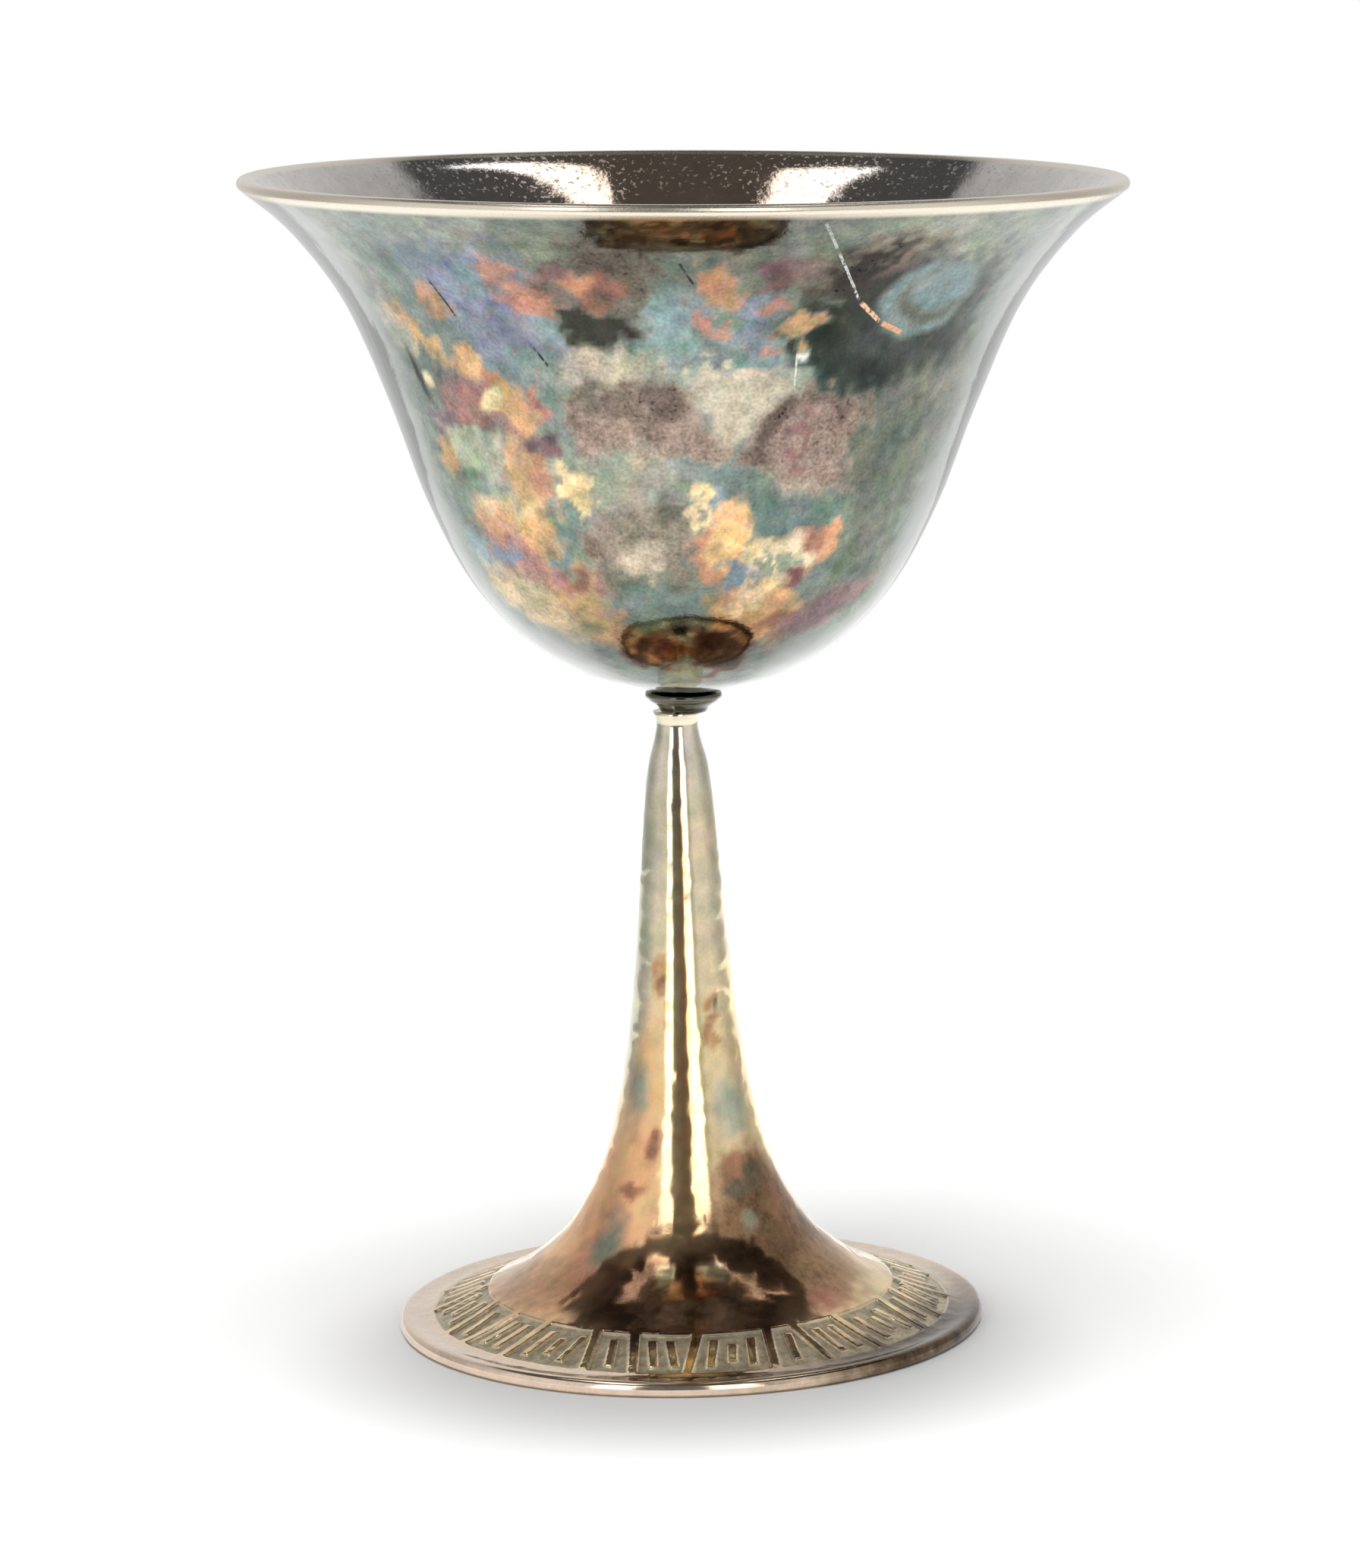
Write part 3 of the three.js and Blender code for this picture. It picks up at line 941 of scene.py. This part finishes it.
# %% [markdown]
# Below them, two mauve lobes of crust lie either side of a pale shield. The left side is the
# brightest part of the goblet: gold and copper down to the belly, where the film is thin,
# round one pale green place.

# %% Tarnish on the bowl's middle and left
BOWL_PATCHES += [
    # pale patches over the shield
    (13, 142.5, 4, 2.5, 0, SEA - 0.02, 0, -0.22, 0.8),
    (-12, 142, 9, 3, 0, CREAM, 0.35, -0.02, 1),
    # the two mauve lobes and the cream shield between them
    (-10, 133.5, 14, 5, -4, CREAM, 0.85, 0.12, 0.6),
    (2, 131, 8, 2.6, -30, CREAM, 0.85, 0.15, 0.6),
    (27, 131, 14, 6.5, -14, CREAM, 0.85, 0.15, 0.6),
    (10, 140, 10, 2.4, 0, CREAM - 0.01, 0.1, -0.05, 0.6),
    (-9, 137.5, 8, 2, 0, CREAM, 0.8, 0.46, 1.2),
    (-17, 138.5, 5, 1.8, 0, GREEN, 0.6, 0.3, 1.2),
    (27, 137, 9, 1.6, -10, CREAM, 0.9, 0.52, 1.2),
    (44, 128, 6, 6, -20, GREEN - 0.04, 0.1, 0.5, 1.2),
    (19, 140, 3, 1.9, 0, GREEN - 0.01, 0, 0, 0.9),
    (-19, 138, 1.6, 1.2, 0, CREAM, 0.9, 0.5, 0.9),
    (14, 129.5, 2.5, 2.4, 0, CREAM, 0.9, 0.5, 0.9),
    (22, 132.5, 1.9, 5, 0, ROSE + 0.01, 0.3, 0.25, 0.9),
    (39, 131.5, 4, 7, -28, GREEN - 0.02, 0.1, 0.5, 0.9),
    (-25, 135, 3, 9.5, 0, GREEN - 0.06, 0, 0.04, 0.8),
    # the left side: olive gold, a dark seam, copper and gold
    (-54, 144.5, 9, 4, -30, GREEN + 0.04, 0.1, 0.12, 0.6),
    (-52, 146.5, 7, 2.1, -40, GOLD - 0.02, 0.1, 0.22, 0.8),
    (-51, 140, 7, 3, 0, SEA, 0.1, 0.3, 0.9),
    (-43, 151, 2.5, 2.2, -60, GOLD + 0.04, 0.2, 0.25, 0.9),
    (-44, 137, 8, 4, -10, ROSE, 0.25, 0.1, 0.8),
    (-52, 134, 5, 1.5, 0, VIOLET, 0.1, 0.3, 0.9),
    (-41, 142.5, 5, 1.8, -30, GOLD, 0.15, 0.05, 0.8),
    (-36, 139.5, 3, 1.8, -30, COPPER, 0, 0.22, 0.8),
    (-33, 134.5, 5, 5, -12, GOLD + 0.01, 0, -0.02, 0.6),
    (-38, 136.5, 3, 1.4, 0, STRAW, 0.1, -0.02, 0.8),
    (-27, 138, 1.7, 2.8, 0, COPPER + 0.03, 0.1, 0.02, 0.9),
    (-36, 131.5, 6, 2.1, -30, ROSE + 0.03, 0.35, 0.05, 0.8),
    # pale green, then olive gold with a rust edge
    (-44, 127.5, 13, 5.5, -10, GREEN + 0.01, 0, -0.12, 0.5),
    (-54, 128.5, 3, 3.5, 0, GOLD + 0.03, 0.2, 0.1, 0.9),
    (-50, 124, 6, 2.4, 0, SEA + 0.03, 0, 0.15, 0.9),
    (-34, 124, 5, 6.5, 5, GOLD - 0.04, 0, 0.25, 0.6),
    (-30, 126, 2.5, 3.5, 5, COPPER - 0.01, 0, 0.06, 0.7),
    (-28, 130.5, 3, 2.2, -50, VIOLET - 0.03, 0, 0.35, 0.8),
    (-43, 121, 8, 2, 0, STRAW + 0.02, 0.1, 0.05, 0.8),
    (-40, 118, 13, 2.5, -5, GOLD + 0.02, 0.1, 0.02, 0.7),
    (-41, 113.5, 12, 4, -15, ROSE - 0.01, 0.4, 0, 0.8),
    (-46, 114, 4, 1.8, 0, LILAC, 0, 0.1, 0.9),
    (-55, 113.5, 7, 2.8, -30, SEA - 0.04, 0, -0.12, 0.9),
    (-44, 107, 14, 4, -10, STRAW + 0.01, 0.2, 0.06, 0.9),
    (-24, 108.5, 12, 5.5, -40, GOLD - 0.02, 0, 0.15, 0.5),
    (-31, 112, 3.5, 1.1, -30, ROSE + 0.02, 0, -0.05, 0.8),
    (-26, 111, 3.5, 1.3, -30, COPPER, 0, 0.35, 0.8),
    (-19, 109, 4, 2, -40, ROSE, 0.1, -0.02, 0.8),
    (-19, 106.5, 4.5, 2.1, -30, GOLD + 0.02, 0, 0, 0.8),
    (-29, 114.5, 2.5, 1.4, 0, BLUE + 0.01, 0, 0.15, 0.9),
]
print("patches down to the belly:", len(BOWL_PATCHES))

# %% [markdown]
# Low on the bowl, a grey speckled stain lies in pale teal, and the splash of gold beside it
# has green holes. Nearly black patches are painted reflection of the goblet's own foot: low
# on the belly, and in the dark ellipse under the lip, with small rose and gold spots in it.

# %% Tarnish on the bowl's lower half
BOWL_PATCHES += [
    # pale green and teal, then a grey speckled stain, in the lower middle
    (-13, 126, 14, 4.5, 0, GREEN + 0.01, 0.15, -0.02, 0.9),
    (-25, 118.5, 5, 5.5, 0, SEA + 0.01, 0, 0.06, 0.8),
    (-9, 116.5, 14, 7, 0, GREEN + 0.05, 0.6, 0.18, 0.8),
    (-21, 116, 3, 1.7, 0, CREAM, 0.8, 0.45, 0.9),
    (-3, 121.5, 3, 2.1, 0, GREEN, 0.3, 0.55, 1),
    (-10, 112, 11, 2, 0, GREEN, 0.3, 0.42, 1),
    (-9, 114.5, 5, 3, 0, CREAM, 0.55, -0.25, 0.6),
    (-4, 108, 17, 3, 0, SEA + 0.02, 0, -0.02, 0.8),
    (-23, 124.5, 4, 2.5, -48, STRAW + 0.04, 0, -0.2, 0.4),
    # the teal band and the gold splash
    (25, 120.5, 14, 4, 0, SEA + 0.02, 0, 0.2, 0.8),
    (35, 111, 10, 5, 20, SEA + 0.02, 0.1, 0.18, 0.8),
    (45, 117, 8, 6.5, 0, GREEN - 0.03, 0.1, 0.42, 1),
    (3, 121.5, 3, 2.5, 0, STRAW + 0.02, 0, -0.1, 0.4),
    (3, 121.5, 1, 0.9, 0, GREEN, 0, 0.2, 0.6),
    (7, 123, 1.4, 1.6, 0, BLUE, 0, 0.12, 0.8),
    (7, 116, 4, 4, -10, COPPER, 0, -0.08, 0.5),
    (10, 118.5, 4.5, 4.5, -15, GOLD, 0, -0.2, 0.5),
    (22, 114.5, 12, 4.5, 10, GOLD, 0, -0.12, 0.5),
    (33, 117, 5, 2.5, 20, COPPER - 0.04, 0, 0, 0.5),
    (25, 117.5, 7, 1.2, 12, COPPER + 0.03, 0, 0.3, 0.7),
    (22, 114.5, 9, 4, 5, STRAW - 0.02, 0, -0.08, 0.4),
    (19, 114, 2.5, 2.6, -10, GREEN, 0, 0.05, 0.15),
    (25, 114.5, 2.5, 2, -20, GREEN, 0, 0.05, 0.15),
    (27, 111.5, 3, 1.4, 0, ROSE, 0, 0.5, 0.8),
    (13, 113.5, 3.5, 1.9, 0, BLUE - 0.02, 0.1, 0.1, 0.5),
    (20, 106.5, 13, 4.5, -10, GOLD + 0.01, 0, 0.05, 0.5),
    (17, 109.5, 5, 2.1, 20, STRAW + 0.02, 0.1, -0.02, 0.7),
    (27, 105, 4.5, 1.5, 0, COPPER, 0, 0.25, 0.8),
    (43, 107, 13, 3, 20, ROSE + 0.05, 0.2, 0.2, 0.9),
    # nearly black: painted reflection of the goblet's own foot, under the lip and low on the belly
    (-6, 161, 7, 2, 0, CREAM, 0.5, 0.84, 0.5),
    (6, 161, 7, 2, 0, CREAM, 0.5, 0.84, 0.5),
    (-3, 161, 2, 0.9, 0, ROSE, 0.3, 0.3, 0.9),
    (4, 160.5, 2, 0.8, 0, GOLD, 0.3, 0.3, 0.9),
    (-11, 100.5, 11, 2.6, 0, COPPER, 0.5, 0.78, 0.5),
    (12, 100.5, 12, 2.6, 0, COPPER, 0.5, 0.82, 0.5),
    (-9, 100, 4, 1.2, 0, GOLD, 0.3, 0.3, 0.9),
]
print("patches on the front:", len(BOWL_PATCHES))

# %% [markdown]
# The back can't be seen in the photograph. It takes the front's larger patches again, turned
# upside down, so it is in keeping without being the same. The small sharp things come last,
# with hardly a tear in their edges, and the finest scratches are thin lines that the
# material draws.

# %% The bowl's back, and its details
BACK_MIDDLE = 190
BACK_HEIGHTS = 262
BOWL_PATCHES += [
    (BACK_MIDDLE - middle * 1.15, BACK_HEIGHTS - height, half_width * 1.2, half_height, turn, *finish)
    for middle, height, half_width, half_height, turn, *finish in BOWL_PATCHES
    if half_width > 4 and 105 < height < 158
]
DETAILS = [
    # the cream shield and the lobes' dark edges beside it
    (-3, 137.4, 4.4, 2.4, -25, CREAM, 0.9, 0.6, 0.7),
    (10, 139.3, 9.5, 1.8, -2, CREAM - 0.01, 0.15, -0.05, 0.7),
    (9.5, 137.0, 7.0, 2.2, 0, CREAM, 0.15, -0.06, 0.6),
    (9, 134.2, 3.6, 2.8, 0, CREAM, 0.2, -0.04, 0.6),
    (17, 134.9, 5.4, 1.2, 50, CREAM, 0.9, 0.66, 0.8),
    # the dent's crescents, a bright dot and dark nicks
    (41.0, 150.9, 9.4, 5.2, 0, SEA - 0.04, 0, 0.04, 0.3),
    (42.6, 151.3, 7.2, 3.9, 0, GREEN, 0.2, 0.7, 0.5),
    (44.0, 152.1, 6.4, 3.3, 0, SEA - 0.05, 0, 0.06, 0.6),
    (17.6, 145.2, 0.7, 1.0, 0, GREEN, 0, 0.9, 0.9),
    (20.4, 143.7, 1.2, 0.7, 0, SILVER, 0, -0.4, 0.9),
    (-55.5, 139.5, 0.9, 4.2, 12, GREEN, 0, 1.0, 0.9),
    (-53, 139.0, 1.1, 1.2, 30, STRAW, 0, -0.3, 0.9),
]
SCRATCHES = [
    # from, to, as degrees round and height, then the width and the colour of the line
    ((17.4, 162.5), (21.0, 158.3), 0.32, (206, 208, 204)),
    ((21.0, 158.3), (27.9, 150.9), 0.32, (214, 216, 212)),
    ((27.9, 150.9), (33.3, 147.8), 0.6, (226, 184, 150)),
    ((33.3, 147.8), (38.9, 146.0), 0.7, (218, 164, 124)),
    ((19.1, 144.4), (19.6, 139.1), 0.28, (210, 208, 200)),
    ((-41.8, 153.9), (-39.4, 148.0), 0.35, (52, 48, 46)),
    ((-1.0, 157.0), (1.4, 153.6), 0.30, (52, 52, 48)),
    ((-26.6, 145.4), (-23.6, 141.8), 0.35, (50, 56, 54)),
]
print("details:", len(DETAILS), "scratches:", len(SCRATCHES))

# %% [markdown]
# The ground under all the patches is sea green that changes slowly over the bowl, and turns
# a little clearer under the lip.

# %% Laying the bowl's tarnish
bowl_height = bowl_points[:, 2]
under_lip = smoothstep(bowl_height, 153, 159)
wide = wander(bowl_points, 14, 5)[:, 0]
bowl_ground = np.column_stack([
    film_colour(SEA + 0.02 + wide * 0.08 + under_lip * 0.03),
    0.12 + under_lip * 0.06,
    0.10 - under_lip * 0.08,
])
bowl_tarnish = lay(bowl_points, bowl_height, bowl_ground, BOWL_PATCHES)
bowl_tarnish = mottled(bowl_points, bowl_tarnish)
bowl_tarnish = lay(bowl_points, bowl_height, bowl_tarnish, DETAILS, FINE_TEARS)
print("patches on the bowl:", len(BOWL_PATCHES) + len(DETAILS))

# %% [markdown]
# The film also wanders a little by itself at every scale, and the crust breaks up into brown
# spots and streaks. Towards the left and right, and low on the belly away from the front,
# the tarnish gives way to pale grey: painted reflection of the light room and floor, which
# the silver mirrors there. Inside, the film is an even thin brown.

# %% Silver of the bowl
def bowl_silver():
    material, shader, nodes = new_silver("bowl_silver")
    chart = Chart(nodes, BOWL_PLACE)
    broad, middling, fine, tiny = chart.broad, chart.middling, chart.fine, chart.tiny
    stretched = nodes.node(
        "ShaderNodeMapping", {"vector_type": "TEXTURE"}, {"Vector": chart.place, "Scale": (1, 1, 5)}
    )
    streaky = nodes.waver(stretched, 1.3)

    colour, crust, dark = own(nodes, "film", "Color"), own(nodes, "crust"), own(nodes, "dark")
    rosy, green, light = chart.flecks
    colour = nodes.tint(nodes.smooth(rosy, 0.1, 0.8) * 0.25, colour, paint_colour(192, 154, 138))
    colour = nodes.tint(nodes.smooth(green, 0.1, 0.8) * 0.4, colour, paint_colour(128, 156, 148))
    spotted = nodes.smooth(streaky * 0.4 + fine * 0.4 + middling * 0.5 + tiny * 0.4, -1.2, 1.3)
    crusty = nodes.tint(spotted, paint_colour(184, 158, 146), paint_colour(118, 96, 84))
    colour = nodes.tint(crust, colour, crusty)
    specks = nodes.smooth(nodes.noise(chart.place, 0.9, detail=3.0), 0.58, 0.70)
    mottle = light * 0.24 + tiny * 0.16 + middling * 0.10
    colour = nodes.darken(colour, 0.12 + dark * 0.86 + mottle * (1 - dark) + specks * crust * 0.3)
    for start, end, width, shade in SCRATCHES:
        colour = nodes.tint(line(nodes, chart, start, end, width), colour, paint_colour(*shade))

    # painted reflection: pale grey towards the left and right and low on the belly, where the silver
    # mirrors the light room and floor
    wide = chart.aside + broad * 5
    painted_side_sheen = nodes.between(wide, 62, 86, 8)
    low_side_sheen = nodes.smooth(chart.height, 108, 98) * nodes.smooth(wide, 28, 46)
    painted_side_sheen = nodes.smooth(painted_side_sheen + low_side_sheen, 0.0, 1.0)
    sheen_grey = nodes.darken(paint_colour(157, 160, 157), fine * 0.06 + middling * 0.05)
    colour = nodes.tint(painted_side_sheen, colour, sheen_grey)
    lip = nodes.smooth(chart.height, 162.6, 163.3)
    colour = nodes.tint(lip, colour, paint_colour(230, 220, 202))

    inner = own(nodes, "inner")
    within = inner * nodes.smooth(chart.height, 164.6, 164.2)
    specks = nodes.smooth(nodes.noise(chart.place, 0.7, detail=3.0), 0.56, 0.66)
    specks = specks * nodes.smooth(chart.height, 156, 161)
    brown = nodes.smooth(chart.aside, 140, 172)
    lining = nodes.tint(brown, paint_colour(204, 200, 196), paint_colour(212, 190, 170))
    lining = nodes.darken(lining, fine * 0.08 + middling * 0.08)
    colour = nodes.tint(within, colour, lining)
    nodes.feed(shader.inputs["Base Color"], colour)

    outer_gloss = 0.07 + crust * 0.08 + tiny * 0.02 + lip * 0.18
    inner_gloss = 0.05 + specks * 0.28 + fine * 0.01
    nodes.feed(shader.inputs["Roughness"], nodes.blend(within, outer_gloss, inner_gloss))
    pits = nodes.noise(chart.place, 0.5, detail=3.0)
    bump = nodes.node(
        "ShaderNodeBump", {}, {"Strength": 0.35, "Distance": 0.02 * MM, "Height": pits}
    )
    nodes.feed(shader.inputs["Normal"], bump)
    return material


# %% [markdown]
# The stem and the foot were handled more and kept a thinner film: pale beige above, copper
# and brown low down, where the trumpet opens. At the front, where the trumpet mirrors the
# bowl, the brown is darkened further as painted reflection, and down the front of the stem
# a gold strip colours the mirrored gap between the lights, also painted reflection. The
# ground of the carved band is matted with a punch, so it scatters light and looks pale,
# while the bars left standing stay polished, and the slopes round the ground are painted
# paler, as a highlight.

# %% Silver of the stem and foot
FOOT_PATCHES = [
    # degrees round, height less radius in mm, half width in degrees, half height, and so on
    (-70, 52, 30, 34, 0, GREEN + 0.06, 0, -0.18, 1.6),
    # a brighter gold strip down the front of the stem: painted reflection colour, where the stem
    # mirrors the dark gap between the two standing lights
    (0, 38, 6, 42, 0, GOLD, 0, -0.20, 0.8),
    # orange spots halfway up the stem, then green and gold below them
    (-28, 44, 10, 3.2, 0, GOLD, 0.1, 0, 1.0),
    (-27, 42, 5, 1.1, 0, COPPER, 0.5, 0.4, 1.0),
    (-36, 46, 5, 1.4, 0, GOLD + 0.06, 0.1, 0, 1.0),
    (-22, 38.5, 4, 1.0, 0, COPPER, 0.1, 0, 1.0),
    (32, 41, 9, 1.4, 0, GOLD + 0.05, 0.2, 0.05, 1.0),
    (37, 40, 4, 0.9, 0, GREEN, 0.3, 0.3, 1.0),
    (33, 37.5, 8, 1.5, 0, COPPER - 0.03, 0.1, 0, 1.0),
    (27, 35, 6, 1.1, 0, COPPER - 0.03, 0.1, 0, 1.0),
    (34, 33.5, 5, 0.9, 0, GOLD, 0.1, 0.05, 1.0),
    (-36, 27, 18, 11.0, 0, GOLD, 0, -0.5, 1.2),
    (-46, 26, 13, 4.5, 0, GREEN, 0, -0.1, 1.2),
    (42, 24, 18, 5.0, 0, GREEN + 0.06, 0, -0.2, 1.2),
    # copper and rose on the left of the trumpet
    (-52, 2, 42, 20.0, 0, COPPER - 0.07, 0, -0.56, 0.9),
    (-36, 14, 14, 5.0, 0, GOLD + 0.03, 0.1, -0.42, 1.0),
    (-27, 17, 6, 2.2, 0, COPPER, 0.4, 0.3, 1.0),
    (-38, 9, 10, 2.0, 0, COPPER, 0.4, 0.22, 1.0),
    (-25, 7, 9, 2.4, 0, GOLD - 0.04, 0.1, -0.2, 1.0),
    (-46, -4, 13, 8.0, 15, COPPER, 0.2, -0.34, 1.0),
    (-41, -3, 8, 5.0, 0, GREEN - 0.03, 0.2, 0.05, 1.6),
    (-50, -14, 12, 5.0, 0, COPPER, 0.2, -0.1, 1.0),
    (-28, -9, 8, 3.0, 0, COPPER - 0.02, 0.3, 0.2, 1.0),
    (-70, -18, 26, 7.0, 0, GOLD + 0.04, 0.3, 0.1, 1.2),
    # brown on its right, with rust and dark olive spots
    (50, -2, 42, 15.0, 0, GOLD + 0.05, 0.7, 0.66, 0.9),
    (42, 12, 20, 4.0, 0, GOLD + 0.08, 0.6, 0.46, 1.0),
    (34, 14, 9, 2.6, 0, COPPER, 0.1, 0.22, 1.0),
    (47, 11, 8, 3.0, 0, GREEN, 0.6, 0.7, 1.0),
    (30, 9, 9, 2.0, 0, GREEN, 0.5, 0.6, 1.0),
    (36, 2, 8, 2.2, 0, GREEN + 0.04, 0.3, 0.36, 1.2),
    (62, 2, 12, 5.0, 0, COPPER, 0.5, 0.25, 1.0),
    (60, -12, 22, 8.0, 0, GOLD + 0.03, 0.6, 0.3, 1.0),
    (45, -19, 9, 3.5, 0, COPPER, 0.2, 0.1, 1.0),
    # dark brown at the front, down to the band: painted reflection of the bowl's underside, over the
    # brown film, with two lighter places in it
    (0, -16, 34, 12.5, 0, COPPER, 0.6, 0.74, 0.5),
    (-9, -8, 6, 2.4, 0, STRAW, 0, 0.2, 0.9),
    (10, -8, 7, 2.4, 0, STRAW, 0, 0.2, 0.9),
    # the border's darker right side, and the back
    (60, -38, 42, 7, 0, CREAM, 0.9, 0.86, 1.2),
    (150, 10, 40, 12, 0, COPPER, 0.2, 0.1, 1.0),
    (-140, -5, 30, 8, 0, COPPER, 0.2, 0.2, 1.0),
    (140, -15, 26, 6, 0, CREAM, 0.6, 0.4, 1.0),
]
foot_radius = np.hypot(foot_points[:, 0], foot_points[:, 1])
foot_height = foot_points[:, 2]
wide = wander(foot_points, 12, 6)[:, 0]
low = smoothstep(-foot_height, -66, -40)
foot_ground = np.column_stack([
    film_colour(0.05 + low * 0.09 + wide * 0.03),
    0.06 + 0 * wide,
    -0.18 - low * 0.12,
])
foot_tarnish = lay(foot_points, foot_height - foot_radius, foot_ground, FOOT_PATCHES)
foot_tarnish = mottled(foot_points, foot_tarnish, 0.5)
print("patches on the foot:", len(FOOT_PATCHES))


def foot_silver():
    material, shader, nodes = new_silver("foot_silver")
    chart = Chart(nodes, FOOT_PLACE)
    middling, fine, tiny = chart.middling, chart.fine, chart.tiny
    colour, crust, dark = own(nodes, "film", "Color"), own(nodes, "crust"), own(nodes, "dark")
    rosy, green, light = chart.flecks
    colour = nodes.tint(nodes.smooth(rosy, 0.2, 1.1) * 0.25, colour, paint_colour(206, 160, 120))
    spotted = nodes.smooth(fine + middling * 0.5, -0.5, 1.0)
    crusty = nodes.tint(spotted, paint_colour(192, 152, 110), paint_colour(118, 84, 52))
    colour = nodes.tint(crust, colour, crusty)
    edging = nodes.smooth(chart.radius, 36.5, 38.5)
    colour = nodes.tint(edging * (1 - crust), colour, paint_colour(212, 192, 174))
    colour = nodes.darken(colour, dark * 0.9 + light * 0.10 + tiny * 0.06 + middling * 0.06)

    sunk = own(nodes, "sunk")
    matted = nodes.smooth(sunk, 0.55, 0.95)
    # painted highlight: the narrow slopes between the band's ground and its bars are painted paler, as
    # if catching the light
    outline = nodes.between(sunk, 0.2, 0.7, 0.15)
    grains = nodes.smooth(fine, -0.6, 0.6)
    ground = nodes.tint(grains, paint_colour(186, 174, 146), paint_colour(226, 212, 184))
    colour = nodes.tint(matted, colour, ground)
    colour = nodes.tint(outline * 0.7, colour, paint_colour(240, 228, 202))
    nodes.feed(shader.inputs["Base Color"], colour)
    gloss = nodes.blend(outline, 0.12 + fine * 0.02, 0.35)
    nodes.feed(shader.inputs["Roughness"], nodes.blend(matted, gloss, 0.5))
    punched = nodes.node(
        "ShaderNodeTexVoronoi", {}, {"Vector": chart.place, "Scale": 1 / 0.45}, output="Distance"
    )
    pits = nodes.noise(chart.place, 0.5, detail=3.0) * 0.3 + punched * matted * 3
    bump = nodes.node(
        "ShaderNodeBump", {}, {"Strength": 0.5, "Distance": 0.02 * MM, "Height": pits}
    )
    nodes.feed(shader.inputs["Normal"], bump)
    return material


def collar_silver():
    material, shader, nodes = new_silver("collar_silver")
    chart = Chart(nodes, BOWL_PLACE)
    fine = chart.fine
    # painted shade: the collar is darker below its disc, in the hollow curve under it
    cove_shade = nodes.smooth(chart.height, joint_height - 0.2, joint_height - 0.9)
    colour = nodes.darken(paint_colour(98, 96, 84), fine * 0.2 + cove_shade * 0.4)
    nodes.feed(shader.inputs["Base Color"], colour)
    nodes.feed(shader.inputs["Roughness"], 0.16 + fine * 0.04)
    return material


# %% [markdown]
# Now the shells meet the hammer. The lip and the foot's edge are filed smooth, so the marks
# fade out there. One deeper blow has left a dent at the upper right of the bowl, through
# the wall, so both faces of the sheet go in together.

# %% The three pieces
def dented(points, degrees, height, depth, spread):
    """Pushes both faces of the wall in round one place of the bowl."""
    radius = np.hypot(points[:, 0], points[:, 1])
    turn = np.degrees(np.arctan2(points[:, 0], -points[:, 1])) - degrees
    beside = np.radians(turn) * radius
    away = np.hypot(beside, (points[:, 2] - height) * 1.3)
    push = depth * np.exp(-((away / spread) ** 2) * 1.2)
    moved = points.copy()
    moved[:, :2] -= points[:, :2] * (push / np.maximum(radius, 1))[:, None]
    moved[:, 2] += push * 0.5
    return moved


bowl_points = dented(bowl_points, degrees=41, height=151, depth=0.7, spread=4.2)
bowl_hammered = smoothstep(GOBLET_HEIGHT - bowl_points[:, 2], 1.5, 5.0)
bowl_inner = (bowl_rings >= bowl_inner_from).astype(float)
bowl = finished_piece(
    "silver_bowl",
    bowl_points,
    bowl_faces,
    BOWL_PLACE,
    bowl_tarnish,
    {"hammered": bowl_hammered, "sunk": bowl_hammered * 0, "inner": bowl_inner},
    {
        "Mark Size": 3.6 * MM,
        "Mark Depth": 0.022 * MM,
        "Mark Tilt": 0.012,
        "Swell": 0.25 * MM,
        "Cut Depth": 0.0,
        "Seed": 0.11,
        "Silver": bowl_silver(),
    },
)

edge_fade = smoothstep(FOOT_RADIUS - foot_radius, 0.3, 3.0)
joint_fade = smoothstep(stem_top - foot_points[:, 2], 0.2, 3.0)
foot = finished_piece(
    "silver_foot",
    foot_points,
    foot_faces,
    FOOT_PLACE,
    foot_tarnish,
    {"hammered": edge_fade * joint_fade * foot_is_outer, "sunk": foot_sunk},
    {
        "Mark Size": 3.3 * MM,
        "Mark Depth": 0.05 * MM,
        "Mark Tilt": 0.03,
        "Swell": 0.10 * MM,
        "Cut Depth": BAND_DEPTH * MM,
        "Seed": 0.23,
        "Silver": foot_silver(),
    },
)

collar = finished_piece(
    "silver_collar",
    collar_points,
    collar_faces,
    BOWL_PLACE,
    np.zeros((len(collar_points), 5)),
    {"hammered": np.zeros(len(collar_points)), "sunk": np.zeros(len(collar_points))},
    {"Mark Size": 3 * MM, "Seed": 0.0, "Silver": collar_silver()},
)

# %% [markdown]
# Each finished piece stands for its solid of the frame and rides on the goblet's one body.

# %% Handing the pieces over
for piece, node, slot in [
    (bowl, "bowl", "bowl_silver"),
    (collar, "collar", "collar_silver"),
    (foot, "trumpet_foot", "foot_silver"),
]:
    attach(piece, "root")
    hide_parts(node)
